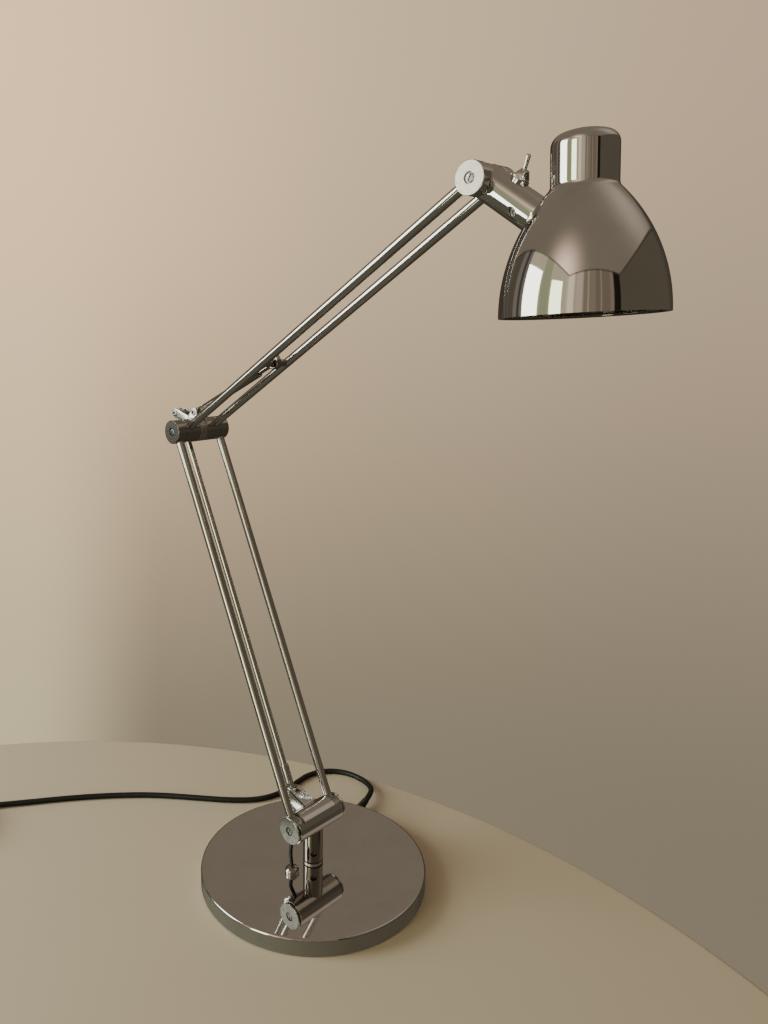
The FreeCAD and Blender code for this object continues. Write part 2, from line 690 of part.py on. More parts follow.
def link_end(pin, way):
    """Flat tongue round a pin, running into a round sleeve."""
    tongue = pivot(pin, TONGUE_RADIUS, -TONGUE_HALF, TONGUE_HALF)
    side = ACROSS.cross(way)
    half = side * LINK_SLEEVE_RADIUS
    reach = way * LINK_SOCKET
    blade = [pin + half, pin - half, pin - half + reach, pin + half + reach]
    sleeve = rod(pin + way * LINK_SLEEVE_START, pin + way * LINK_SLEEVE_END, LINK_SLEEVE_RADIUS)
    shape = tongue.fuse([plate(blade, -TONGUE_HALF, TONGUE_HALF), sleeve])
    socket = rod(pin + way * LINK_SOCKET, pin + way * (LINK_SLEEVE_END + 1), LINK_RADIUS + ROD_FIT)
    return shape.cut([socket, pivot(pin, PIN_RADIUS + RUNNING_FIT, -PLATE_INNER, PLATE_INNER)])


def build_link():
    save("link_rod", rod(LINK_FOOT + LOWER_WAY * LINK_SOCKET, LINK_HEAD - LOWER_WAY * LINK_SOCKET, LINK_RADIUS))
    save("link_end_lower", link_end(LINK_FOOT, LOWER_WAY))
    save("link_end_upper", link_end(LINK_HEAD, LOWER_WAY * -1))


def elbow_bracket():
    """Folded bracket on the elbow ring with an ear for the link and one for the strut."""
    outline = [V(-6.5, 0, 7.5), V(-27.5, 0, 9.4), V(-31.0, 0, 13.0), V(-30.2, 0, 17.2), V(-26.5, 0, 18.6),
               V(-22.5, 0, 17.6), V(-6.0, 0, 12.8), V(-2.0, 0, 18.2), V(0.0, 0, 20.6), V(3.0, 0, 21.2),
               V(6.0, 0, 19.6), V(7.0, 0, 16.0), V(5.5, 0, 8.0)]
    points = [ELBOW + p for p in outline]
    bracket = plate(points, -PLATE_OUTER, PLATE_OUTER)
    floor = [V(-9.5, 0, 7.0), V(-7.4, 0, 11.6), V(-4.8, 0, 12.0), V(4.2, 0, 12.0), V(4.2, 0, 7.0)]
    web = plate([ELBOW + p for p in floor], -PLATE_INNER, PLATE_INNER)
    channel = pivot(ELBOW, 60.0, -PLATE_INNER, PLATE_INNER)
    bracket = bracket.cut(channel).fuse(web)
    bracket = bracket.cut(pivot(ELBOW, KNUCKLE_RADIUS, -PLATE_OUTER, PLATE_OUTER))
    for sign in (-1, 1):
        y0, y1 = sorted((sign * RING_HALF, sign * PLATE_OUTER))
        bracket = bracket.cut(pivot(ELBOW, KNUCKLE_RADIUS + 0.4, y0, y1))
    holes = [pivot(p, PIN_RADIUS + ROD_FIT, -PLATE_OUTER, PLATE_OUTER) for p in (LINK_HEAD, STRUT_FOOT)]
    return bracket.cut(holes)


def build_elbow_yoke():
    ring = pivot(ELBOW, KNUCKLE_RADIUS, -RING_HALF, RING_HALF)
    save("elbow_ring", ring.cut(pivot(ELBOW, AXLE_RADIUS + RUNNING_FIT, -RING_HALF, RING_HALF)))
    save("elbow_bracket", elbow_bracket())
    save("yoke_pins", Part.makeCompound([headed_pin(LINK_HEAD), headed_pin(STRUT_FOOT)]))


def crossbar():
    bar = pivot(CROSSBAR, CROSSBAR_RADIUS, -UPPER_ROD_Y, UPPER_ROD_Y)
    return bar.cut([arm_rod(ELBOW, HEAD, -UPPER_ROD_Y), arm_rod(ELBOW, HEAD, UPPER_ROD_Y)])


def near_knuckle_screw(foot, length, radius):
    """Round bar square to the near upper rod, at the grub screw of its elbow knuckle."""
    way = heading(UPPER_RISE + KNUCKLE_SCREW_TURN)
    start = at_y(ELBOW, -UPPER_ROD_Y) + UPPER_WAY * KNUCKLE_SCREW_ALONG + way * foot
    return rod(start, start + way * length, radius)


def build_upper_arm():
    inner_y = RING_HALF + SIDE_GAP
    inner = knuckle(ELBOW, KNUCKLE_RADIUS, -ELBOW_SEAM + SIDE_GAP, -inner_y, UPPER_WAY, -UPPER_ROD_Y,
                    AXLE_RADIUS + RUNNING_FIT)
    hole = near_knuckle_screw(ROD_RADIUS / 2, KNUCKLE_RADIUS, KNUCKLE_SCREW_RADIUS + ROD_FIT)
    save_pair("elbow_inner_knuckle", inner.cut(hole))
    screw = near_knuckle_screw(ROD_RADIUS, KNUCKLE_SCREW_LENGTH, KNUCKLE_SCREW_RADIUS)
    save("knuckle_set_screws", Part.makeCompound([screw, other_side(screw)]))
    save_pair("upper_rod", arm_rod(ELBOW, HEAD, -UPPER_ROD_Y))
    save("crossbar", crossbar())
    head_end = HEAD_OUTER - CAP_THICKNESS
    save_pair("head_knuckle", end_knuckle(HEAD, HEAD_OUTER, HEAD_SEAM, UPPER_WAY * -1, -UPPER_ROD_Y))
    save("head_cap_screws", Part.makeCompound(cap_screws(HEAD, HEAD_OUTER, head_end)))
    save("head_axle", pivot(HEAD, AXLE_RADIUS, -head_end, head_end))


def build_strut():
    """Telescopic strut from the elbow bracket to the crossbar."""
    way = (CROSSBAR - STRUT_FOOT).normalize()
    side = V(-way.z, 0, way.x)
    foot = pivot(STRUT_FOOT, TONGUE_RADIUS, -TONGUE_HALF, TONGUE_HALF)
    mouth = STRUT_FOOT + way * STRUT_TUBE_END
    barrel = rod(STRUT_FOOT + way * STRUT_TUBE_START, mouth, STRUT_TUBE_RADIUS)
    bore = rod(STRUT_FOOT + way * (STRUT_TUBE_START + 12), mouth + way, STRUT_BORE_RADIUS)
    hole = pivot(STRUT_FOOT, PIN_RADIUS + RUNNING_FIT, -PLATE_INNER, PLATE_INNER)
    blade_half = STRUT_TUBE_RADIUS - 0.1
    low = STRUT_FOOT - side * blade_half
    high = STRUT_FOOT + side * blade_half
    blade = plate([low, low + way * 2 * STRUT_TUBE_START, high + way * 2 * STRUT_TUBE_START, high],
                  -TONGUE_HALF, TONGUE_HALF)
    save("strut_tube", foot.fuse([blade, barrel]).cut([bore, hole]))
    eye = CROSSBAR + way * STRUT_EYE_SHIFT_ALONG + side * STRUT_EYE_SHIFT_SIDE
    hole_along = CROSSBAR_RADIUS + STRUT_EYE_SLACK_ALONG
    hole_side = CROSSBAR_RADIUS + STRUT_EYE_SLACK_SIDE
    spread = side * (hole_side - hole_along)

    def oblong(radius, half):
        """Slot shape, longer across the strut."""
        low = eye - spread
        high = eye + spread
        bar = [low - way * radius, low + way * radius, high + way * radius, high - way * radius]
        return plate(bar, -half, half).fuse([pivot(low, radius, -half, half), pivot(high, radius, -half, half)])

    stalk = rod(STRUT_FOOT + way * STRUT_ROD_START, CROSSBAR - way * hole_along, STRUT_ROD_RADIUS)
    outer = oblong(hole_along + STRUT_EYE_WALL, STRUT_EYE_HALF)
    save("strut_rod", stalk.fuse(outer).cut(oblong(hole_along, STRUT_EYE_HALF + 1)))


# Head


def shade_point(r, h):
    return RIM + SHADE_SIDE * r + SHADE_WAY * h


def turned(outline):
    """Solid of revolution about the shade's axis, from edges that close an outline."""
    return Part.Face(Part.Wire(outline)).revolve(RIM, SHADE_WAY, 360)


def line(a, b):
    return Part.LineSegment(shade_point(*a), shade_point(*b)).toShape()


def curve(a, b, c):
    return Part.Arc(shade_point(*a), shade_point(*b), shade_point(*c)).toShape()


def bell_radius(h, inset):
    """Radius of the bell at a height, set in from its outer face."""
    return RIM_RADIUS - BELL_ARC_RADIUS + math.sqrt((BELL_ARC_RADIUS - inset) ** 2 - h * h)


def bell_height(r, inset):
    return math.sqrt((BELL_ARC_RADIUS - inset) ** 2 - (r - RIM_RADIUS + BELL_ARC_RADIUS) ** 2)


def shade_side(inset):
    """Edges from the rim up to the middle of the crown, set in from the outer face."""
    neck = NECK_RADIUS - inset
    crease = bell_height(neck, inset)
    edge_centre = NECK_RADIUS - CROWN_EDGE_RADIUS
    edge = CROWN_EDGE_RADIUS - inset
    turn = math.radians(CROWN_EDGE_TURN)
    crown_radius = (edge_centre + CROWN_EDGE_RADIUS * math.cos(turn)) / math.cos(turn)
    crown_centre = NECK_TOP + CROWN_EDGE_RADIUS * math.sin(turn) - crown_radius * math.sin(turn)
    crown = crown_radius - inset
    half_up = (turn + math.pi / 2) / 2
    rim = (bell_radius(0, inset), 0)
    bell_mid = (bell_radius(crease / 2, inset), crease / 2)
    edge_mid = (edge_centre + edge * math.cos(turn / 2), NECK_TOP + edge * math.sin(turn / 2))
    edge_end = (edge_centre + edge * math.cos(turn), NECK_TOP + edge * math.sin(turn))
    crown_mid = (crown * math.cos(half_up), crown_centre + crown * math.sin(half_up))
    apex = (0, crown_centre + crown)
    edges = [curve(rim, bell_mid, (neck, crease)), line((neck, crease), (neck, NECK_TOP)),
             curve((neck, NECK_TOP), edge_mid, edge_end), curve(edge_end, crown_mid, apex)]
    return edges, rim, apex


def bell_core(inset):
    """Solid form of the bell and neck without the crown, for trimming what meets them."""
    neck = NECK_RADIUS - inset
    crease = bell_height(neck, inset)
    rim = (bell_radius(0, inset), 0)
    bell_mid = (bell_radius(crease / 2, inset), crease / 2)
    outline = [line((0, 0), rim), curve(rim, bell_mid, (neck, crease)), line((neck, crease), (neck, NECK_TOP)),
               line((neck, NECK_TOP), (0, NECK_TOP)), line((0, NECK_TOP), (0, 0))]
    return turned(outline)


def shade_bell():
    """Spun shade: bell, neck and crown in one wall, with a rolled rim."""
    outer, outer_rim, outer_apex = shade_side(0)
    inner, inner_rim, inner_apex = shade_side(SHADE_WALL)
    bell = turned(outer + [line(outer_apex, inner_apex)] + inner[::-1] + [line(inner_rim, outer_rim)])
    bead_at = RIM_RADIUS - SHADE_WALL - RIM_BEAD_RADIUS * 0.6
    bead = Part.makeTorus(bead_at, RIM_BEAD_RADIUS, shade_point(0, RIM_BEAD_RADIUS), SHADE_WAY)
    hole = rod(HEAD + STEM_WAY * NIPPLE_START, HEAD + STEM_WAY * STEM_LENGTH, NIPPLE_RADIUS + ROD_FIT)
    print("shade stands %.1f tall" % outer_apex[1])
    return bell.fuse(bead).cut(hole)


def head_stem():
    """Tube from the head pivot to the shade, with a tongue between the knuckles."""
    stem = rod(HEAD, HEAD + STEM_WAY * STEM_LENGTH, STEM_RADIUS)
    for sign in (-1, 1):
        y0, y1 = sorted((sign * STEM_TONGUE_HALF, sign * (HEAD_OUTER + 1)))
        stem = stem.cut(pivot(HEAD, STEM_MOUTH_RADIUS, y0, y1))
    stem = stem.fuse(pivot(HEAD, KNUCKLE_RADIUS - 0.3, -STEM_TONGUE_HALF, STEM_TONGUE_HALF))
    behind = Part.makeBox(60, 60, 60, V(-60, -30, -30))
    behind.rotate(MIDDLE, ACROSS, STEM_FALL)
    behind.translate(HEAD)
    stem = stem.cut(behind.cut(pivot(HEAD, KNUCKLE_RADIUS - 0.3, -40, 40)))
    bore = rod(HEAD + STEM_WAY * STEM_BORE_START, HEAD + STEM_WAY * STEM_LENGTH, STEM_BORE_RADIUS)
    cuts = [bore, pivot(HEAD, AXLE_RADIUS + RUNNING_FIT, -HEAD_OUTER, HEAD_OUTER), bell_core(-STEM_SHADE_GAP)]
    switch = HEAD + STEM_WAY * SWITCH_ALONG
    cuts.append(rod(switch, switch + STEM_TOP_WAY * (STEM_RADIUS + 5), SWITCH_BUSH_RADIUS + ROD_FIT))
    screw = HEAD + STEM_WAY * STEM_SCREW_ALONG
    cuts.append(rod(screw, screw + stem_screw_way() * (STEM_RADIUS + 5), STEM_SCREW_RADIUS + 0.25))
    return stem.cut(cuts)


def stem_screw_way():
    drop = math.radians(STEM_SCREW_DROP)
    return V(0, -math.cos(drop), 0) - STEM_TOP_WAY * math.sin(drop)


def stem_screw():
    foot = HEAD + STEM_WAY * STEM_SCREW_ALONG
    way = stem_screw_way()
    screw = rod(foot + way * (STEM_BORE_RADIUS - 3), foot + way * (STEM_RADIUS - 0.3), STEM_SCREW_RADIUS)
    return screw.cut(hexagon(foot + way * (STEM_RADIUS - 1.6), way, 1.8, 3, STEM_WAY))


def nipple():
    """Threaded tube that ties the stem's plug to the shade, with its nut inside the bell."""
    start = HEAD + STEM_WAY * NIPPLE_START
    end = HEAD + STEM_WAY * (STEM_LENGTH - 4)
    seat = rod(start, end, STEM_BORE_RADIUS - ROD_FIT).cut(bell_core(-STEM_SHADE_GAP))
    seat = seat.cut(rod(start, end, NIPPLE_BORE_RADIUS))
    screw = HEAD + STEM_WAY * STEM_SCREW_ALONG
    seat = seat.cut(rod(screw, screw + stem_screw_way() * STEM_RADIUS, STEM_SCREW_RADIUS + 0.1))
    tube_end = rod(start, end, NIPPLE_RADIUS).cut(rod(start, end, NIPPLE_BORE_RADIUS))
    return seat.fuse(tube_end)


def nipple_nut():
    start = HEAD + STEM_WAY * NIPPLE_NUT_START
    end = start + STEM_WAY * NIPPLE_NUT_LENGTH
    nut = rod(start, end, NIPPLE_NUT_RADIUS).common(bell_core(SHADE_WALL))
    return nut.cut(rod(start, end + STEM_WAY, NIPPLE_RADIUS + ROD_FIT))


def switch_place(up):
    return HEAD + STEM_WAY * SWITCH_ALONG + STEM_TOP_WAY * (STEM_RADIUS + up)


def switch_nut():
    """Domed nut and bush of the toggle switch."""
    bush = rod(switch_place(-6), switch_place(0.2), SWITCH_BUSH_RADIUS)
    flange = rod(switch_place(0), switch_place(SWITCH_FLANGE), SWITCH_FLANGE_RADIUS)
    nut = hexagon(switch_place(SWITCH_FLANGE), STEM_TOP_WAY, SWITCH_NUT_FLATS, SWITCH_NUT, STEM_WAY)
    dome_foot = SWITCH_FLANGE + SWITCH_NUT
    dome_radius = (SWITCH_DOME_RADIUS ** 2 + SWITCH_DOME ** 2) / (2 * SWITCH_DOME)
    ball = Part.makeSphere(dome_radius, switch_place(dome_foot + SWITCH_DOME - dome_radius))
    dome = ball.common(rod(switch_place(dome_foot), switch_place(dome_foot + SWITCH_DOME), SWITCH_DOME_RADIUS))
    saddle = rod(HEAD, HEAD + STEM_WAY * STEM_LENGTH, STEM_RADIUS)
    body = flange.fuse([nut, dome]).cut(saddle).fuse(bush)
    ball_seat = Part.makeSphere(LEVER_BALL + 0.3, switch_place(dome_foot))
    top = dome_foot + SWITCH_DOME
    spread = math.tan(math.radians(LEVER_LEAN))
    reach = SWITCH_DOME + 1
    mouth = Part.makeCone(LEVER_FOOT_RADIUS + 0.6, LEVER_FOOT_RADIUS + 0.6 + reach * spread * 1.2, reach,
                          switch_place(dome_foot), STEM_TOP_WAY)
    print("switch stands %.1f above the stem" % top)
    return body.cut([ball_seat, mouth])


def switch_lever():
    """Bat lever, tapering down to its ball."""
    pivot_point = switch_place(SWITCH_FLANGE + SWITCH_NUT)
    way = heading(90 - STEM_FALL + LEVER_LEAN)
    bat = Part.makeCone(LEVER_FOOT_RADIUS, LEVER_TIP_RADIUS, LEVER_REACH - LEVER_TIP_RADIUS, pivot_point, way)
    tip = Part.makeSphere(LEVER_TIP_RADIUS, pivot_point + way * (LEVER_REACH - LEVER_TIP_RADIUS))
    return bat.fuse([tip, Part.makeSphere(LEVER_BALL, pivot_point)])


def shade_rod(h0, h1, radius):
    return rod(shade_point(0, h0), shade_point(0, h1), radius)


def lampholder():
    """Screw lampholder hung from the crown, open below for the bulb's cap."""
    body = shade_rod(HOLDER_FOOT, HOLDER_TOP, HOLDER_RADIUS)
    body = soften(body, 2.0, lambda e: len(e.Vertexes) == 1)
    boss = shade_rod(HOLDER_TOP - 1, HOLDER_BOSS_TOP, HOLDER_BOSS_RADIUS)
    return body.fuse(boss).cut(shade_rod(HOLDER_FOOT - 1, BULB_CAP_TOP, HOLDER_BORE))


def bulb_form(inset):
    """Round bulb with a short neck, set in from its outer face."""
    ball = Part.makeSphere(BULB_RADIUS - inset, shade_point(0, BULB_CENTRE))
    foot = shade_point(0, BULB_CAP_FOOT - BULB_NECK)
    neck = Part.makeCone(BULB_NECK_START - inset, BULB_NECK_RADIUS - inset, BULB_NECK, foot, SHADE_WAY)
    return ball.fuse(neck)


def build_head():
    save("head_stem", head_stem())
    save("stem_screw", stem_screw())
    save("stem_nipple", nipple())
    save("nipple_nut", nipple_nut())
    save("switch_nut", switch_nut())
    save("switch_lever", switch_lever())
    save("shade_bell", shade_bell())
    save("lampholder", lampholder())
    save("bulb_cap", shade_rod(BULB_CAP_FOOT, BULB_CAP_TOP, BULB_CAP_RADIUS))
    save("bulb_glass", bulb_form(0).cut(bulb_form(BULB_WALL)))


def main():
    os.makedirs("parts", exist_ok=True)
    build_base()
    build_cords()
    build_shoulder()
    build_lower_arm()
    build_link()
    build_elbow_yoke()
    build_upper_arm()
    build_strut()
    build_head()


main()
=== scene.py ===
"""Adjustable desk lamp: its visible pieces, their finishes and the studio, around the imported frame.

Pieces are modelled in millimetres in the lamp's own frame, with +Z up and the arms in the XZ plane,
and are scaled to metres when they are placed.
"""
import logging
import math
from dataclasses import dataclass
from enum import Enum
from typing import Any, Callable, Sequence, Union

import bmesh
import bpy
from mathutils import Matrix, Vector


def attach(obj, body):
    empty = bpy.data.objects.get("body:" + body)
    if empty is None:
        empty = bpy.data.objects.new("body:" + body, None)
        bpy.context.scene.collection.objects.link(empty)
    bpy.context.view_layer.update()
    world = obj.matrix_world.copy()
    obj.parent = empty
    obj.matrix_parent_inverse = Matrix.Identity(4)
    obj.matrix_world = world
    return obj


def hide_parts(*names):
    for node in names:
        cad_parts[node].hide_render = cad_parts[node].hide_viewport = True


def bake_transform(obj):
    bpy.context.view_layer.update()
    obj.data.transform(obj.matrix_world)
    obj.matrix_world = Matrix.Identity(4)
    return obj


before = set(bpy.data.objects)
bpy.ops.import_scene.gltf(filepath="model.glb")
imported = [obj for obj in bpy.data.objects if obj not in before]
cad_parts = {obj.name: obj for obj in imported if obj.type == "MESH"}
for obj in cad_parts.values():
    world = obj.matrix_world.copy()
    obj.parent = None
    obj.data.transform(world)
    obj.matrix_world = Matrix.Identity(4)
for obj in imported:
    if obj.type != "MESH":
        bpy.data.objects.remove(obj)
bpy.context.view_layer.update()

LOG = logging.getLogger("desk_lamp")
MM = 0.001
SHARP_ANGLE = math.radians(32.0)
CREASE = math.radians(50.0)
# Points this close count as one, in millimetres, and for cords in metres
POLE_MERGE = 2e-3
SEAM_MERGE = 1e-4
CORD_MERGE = 1e-6
# Sizes that several sub-assemblies share, in millimetres
AXLE_BORE = 4.05
TONGUE_BORE = 2.25
PIN_HOLE = 2.3
RIVET_STAND = 0.9

Colour = tuple[float, float, float]
Point = tuple[float, float, float]
Corner = tuple[float, float, float]
Piece = bpy.types.Object


# Shader maths


class Value:
    """Output socket of a node tree, so that shader maths reads as plain expressions."""

    def __init__(self, tree: bpy.types.NodeTree, socket: bpy.types.NodeSocket) -> None:
        """Keep the socket and the tree that it belongs to."""
        self.tree = tree
        self.socket = socket

    def feed(self, socket: bpy.types.NodeSocket) -> None:
        """Link this value to an input."""
        self.tree.links.new(self.socket, socket)

    def maths(self, operation: str, first: "Number", second: "Number") -> "Value":
        """Add one Math node.

        Args:
            operation: Name of the node's operation.
            first: First number or value.
            second: Second number or value.

        Returns:
            The node's result.
        """
        node = self.tree.nodes.new("ShaderNodeMath")
        node.operation = operation
        for socket, item in zip(node.inputs, (first, second)):
            set_input(socket, item)
        return Value(self.tree, node.outputs[0])

    def __add__(self, other: "Number") -> "Value":
        """Sum of two values."""
        return self.maths("ADD", self, other)

    def __radd__(self, other: "Number") -> "Value":
        """Sum with a number on the left."""
        return self.maths("ADD", other, self)

    def __sub__(self, other: "Number") -> "Value":
        """Difference of two values."""
        return self.maths("SUBTRACT", self, other)

    def __rsub__(self, other: "Number") -> "Value":
        """Difference with a number on the left."""
        return self.maths("SUBTRACT", other, self)

    def __mul__(self, other: "Number") -> "Value":
        """Product of two values."""
        return self.maths("MULTIPLY", self, other)

    def __rmul__(self, other: "Number") -> "Value":
        """Product with a number on the left."""
        return self.maths("MULTIPLY", other, self)


Number = Union[float, Value]


def set_input(socket: bpy.types.NodeSocket, item: Any) -> None:
    """Link a value to an input, or set the input's own number, vector or colour.

    Args:
        socket: Input of a node.
        item: Value to link, or what the input holds.
    """
    if isinstance(item, Value):
        item.feed(socket)
    elif socket.type == "RGBA" and len(item) == 3:
        socket.default_value = (*item, 1.0)
    else:
        socket.default_value = item


class Shader:
    """Node tree of one material or of the world."""

    def __init__(self, tree: bpy.types.NodeTree) -> None:
        """Keep the tree that nodes are added to."""
        self.tree = tree

    def node(self, kind: str, settings: dict[str, Any], sockets: dict[Union[int, str], Any],
             out: Union[int, str] = 0) -> Value:
        """Add one node.

        Args:
            kind: Type of the node.
            settings: Its own settings, set first.
            sockets: Values or links of its inputs, by name or place.
            out: Output that is wanted.

        Returns:
            That output.
        """
        node = self.tree.nodes.new(kind)
        for name, setting in settings.items():
            setattr(node, name, setting)
        for name, item in sockets.items():
            set_input(node.inputs[name], item)
        return Value(self.tree, node.outputs[out])

    def place(self, centre: Point = (0.0, 0.0, 0.0), turn: Point = (0.0, 0.0, 0.0),
              stretch: Point = (1.0, 1.0, 1.0)) -> Value:
        """Object coordinates, centred, turned and stretched.

        Args:
            centre: Point that becomes the origin, in metres.
            turn: Turn of the pattern, in radians.
            stretch: How much longer the pattern is along each axis.

        Returns:
            The coordinates.
        """
        at = self.node("ShaderNodeTexCoord", {}, {}, "Object")
        return self.node("ShaderNodeMapping", {"vector_type": "TEXTURE"},
                         {"Vector": at, "Location": centre, "Rotation": turn, "Scale": stretch})

    def noise(self, at: Value, scale: float, detail: float = 2.0) -> Value:
        """Soft noise from 0 to 1, at a number of waves per metre."""
        return self.node("ShaderNodeTexNoise", {}, {"Vector": at, "Scale": scale, "Detail": detail}, "Fac")

    def band(self, item: Value, low: float, high: float) -> Value:
        """Smooth step from 0 at low to 1 at high."""
        return self.node("ShaderNodeMapRange", {"interpolation_type": "SMOOTHSTEP"},
                         {"Value": item, "From Min": low, "From Max": high})

    def mix(self, first: Any, second: Any, share: Number) -> Value:
        """Colour between two colours."""
        return self.node("ShaderNodeMix", {"data_type": "RGBA"}, {0: share, 6: first, 7: second}, 2)

    def vector(self, operation: str, first: Any, second: Any, out: str = "Vector") -> Value:
        """One Vector Math node."""
        return self.node("ShaderNodeVectorMath", {"operation": operation}, {0: first, 1: second}, out)

    def bump(self, height: Value, strength: float, distance: float) -> Value:
        """Normal that follows a height, with the distance in metres."""
        return self.node("ShaderNodeBump", {}, {"Height": height, "Strength": strength, "Distance": distance})


# Finishes


@dataclass(frozen=True)
class Finish:
    """A named surface finish. Each kind says what feeds its shader."""

    name: str

    def sockets(self, shader: Shader) -> dict[str, Any]:
        """What goes to the inputs of the main shader, by name."""
        raise NotImplementedError

    def material(self) -> bpy.types.Material:
        """Find or make the material.

        Returns:
            The one material of this name.
        """
        made = bpy.data.materials.get(self.name)
        if made is None:
            made = bpy.data.materials.new(self.name)
            made.use_nodes = True
            surface = made.node_tree.nodes["Principled BSDF"]
            for name, item in self.sockets(Shader(made.node_tree)).items():
                set_input(surface.inputs[name], item)
        return made


@dataclass(frozen=True)
class Plating(Finish):
    """Mirror plating with faint haze, wiped smears and specks of dust."""

    bright: Colour = (0.72, 0.70, 0.67)
    dull: Colour = (0.63, 0.61, 0.58)
    gloss: float = 0.03
    metal: float = 1.0

    def sockets(self, shader: Shader) -> dict[str, Any]:
        """Metal whose colour and gloss vary with haze, smears and dust.

        Args:
            shader: The material's nodes.

        Returns:
            What feeds each input.
        """
        at = shader.place()
        haze = shader.band(shader.noise(at, 38.0, 4.0), 0.35, 0.75)
        wiped = shader.place(turn=(0.4, 0.2, 0.5), stretch=(1.0, 1.0, 4.0))
        smear = shader.band(shader.noise(wiped, 95.0, 3.0), 0.55, 0.78)
        dust = shader.band(shader.noise(at, 1700.0, 2.0), 0.70, 0.80)
        fine = shader.noise(at, 420.0, 3.0)
        return {
            "Base Color": shader.mix(self.bright, self.dull, 0.35 * haze + 0.4 * smear + 0.2 * dust),
            "Metallic": self.metal,
            "Roughness": self.gloss + 0.02 * haze + 0.035 * smear + 0.05 * dust,
            "Normal": shader.bump(fine, 0.03, 0.00002),
        }


@dataclass(frozen=True)
class TurnedSteel(Finish):
    """Satin steel with the fine rings that a lathe leaves round one pivot along Y."""

    centre: Point = (0.0, 0.0, 0.0)
    bright: Colour = (0.50, 0.485, 0.44)
    dull: Colour = (0.34, 0.33, 0.30)

    def sockets(self, shader: Shader) -> dict[str, Any]:
        """Metal with rings in its colour, gloss and relief.

        Args:
            shader: The material's nodes.

        Returns:
            What feeds each input.
        """
        at = shader.place(self.centre)
        level = shader.vector("MULTIPLY", at, (1.0, 0.0, 1.0))
        radius = shader.vector("LENGTH", level, (0.0, 0.0, 0.0), "Value")
        ring = shader.node("ShaderNodeTexNoise", {"noise_dimensions": "1D"},
                           {"W": radius, "Scale": 1500.0, "Detail": 2.0}, "Fac")
        wear = shader.band(shader.noise(at, 260.0, 4.0), 0.4, 0.75)
        return {
            "Base Color": shader.mix(self.bright, self.dull, 0.7 * ring + 0.3 * wear),
            "Metallic": 1.0,
            "Roughness": 0.30 + 0.10 * ring + 0.05 * wear,
            "Normal": shader.bump(ring, 0.12, 0.00005),
        }


@dataclass(frozen=True)
class BrightSheet(Finish):
    """Bright folded sheet metal, a little softer than the plated tubes, with rolling marks."""

    bright: Colour = (0.86, 0.85, 0.82)
    dull: Colour = (0.70, 0.69, 0.66)

    def sockets(self, shader: Shader) -> dict[str, Any]:
        """Metal with faint lengthwise marks.

        Args:
            shader: The material's nodes.

        Returns:
            What feeds each input.
        """
        marks = shader.noise(shader.place(stretch=(14.0, 1.0, 1.0)), 1900.0, 3.0)
        spots = shader.band(shader.noise(shader.place(), 340.0, 3.0), 0.5, 0.75)
        return {
            "Base Color": shader.mix(self.bright, self.dull, 0.4 * marks + 0.3 * spots),
            "Metallic": 1.0,
            "Roughness": 0.17 + 0.10 * marks + 0.06 * spots,
            "Normal": shader.bump(marks, 0.10, 0.00005),
        }


@dataclass(frozen=True)
class OiledSteel(Finish):
    """Steel of hidden pins and screws: darker, with handling marks."""

    bright: Colour = (0.46, 0.45, 0.43)
    dull: Colour = (0.24, 0.23, 0.215)
    gloss: float = 0.28

    def sockets(self, shader: Shader) -> dict[str, Any]:
        """Metal with blotches.

        Args:
            shader: The material's nodes.

        Returns:
            What feeds each input.
        """
        blotch = shader.band(shader.noise(shader.place(), 420.0, 4.0), 0.35, 0.7)
        grain = shader.noise(shader.place(), 3000.0, 2.0)
        return {
            "Base Color": shader.mix(self.bright, self.dull, blotch),
            "Metallic": 1.0,
            "Roughness": self.gloss + 0.18 * blotch,
            "Normal": shader.bump(grain, 0.12, 0.00006),
        }


@dataclass(frozen=True)
class Moulding(Finish):
    """Moulded plastic or rubber with a fine grain and rubbed places."""

    tone: Colour = (0.012, 0.012, 0.012)
    rubbed: Colour = (0.03, 0.029, 0.028)
    gloss: float = 0.42
    grain: float = 2200.0
    relief: float = 0.00008

    def sockets(self, shader: Shader) -> dict[str, Any]:
        """Plastic with grain in its relief and rubbed places in its colour.

        Args:
            shader: The material's nodes.

        Returns:
            What feeds each input.
        """
        at = shader.place()
        rub = shader.band(shader.noise(at, 130.0, 4.0), 0.45, 0.75)
        grain = shader.noise(at, self.grain, 3.0)
        return {
            "Base Color": shader.mix(self.tone, self.rubbed, 0.7 * rub + 0.3 * grain),
            "Roughness": self.gloss + 0.14 * grain - 0.08 * rub,
            "Normal": shader.bump(grain, 0.3, self.relief),
        }


@dataclass(frozen=True)
class CastIron(Finish):
    """Raw cast iron: dark, pitted and dull."""

    def sockets(self, shader: Shader) -> dict[str, Any]:
        """Metal with pits and rust-brown bloom.

        Args:
            shader: The material's nodes.

        Returns:
            What feeds each input.
        """
        at = shader.place()
        pits = shader.node("ShaderNodeTexVoronoi", {}, {"Vector": at, "Scale": 620.0}, "Distance")
        bloom = shader.band(shader.noise(at, 70.0, 4.0), 0.45, 0.7)
        return {
            "Base Color": shader.mix((0.06, 0.06, 0.06), (0.10, 0.07, 0.05), bloom),
            "Metallic": 0.6,
            "Roughness": 0.62 + 0.2 * pits,
            "Normal": shader.bump(pits, 0.6, 0.0003),
        }


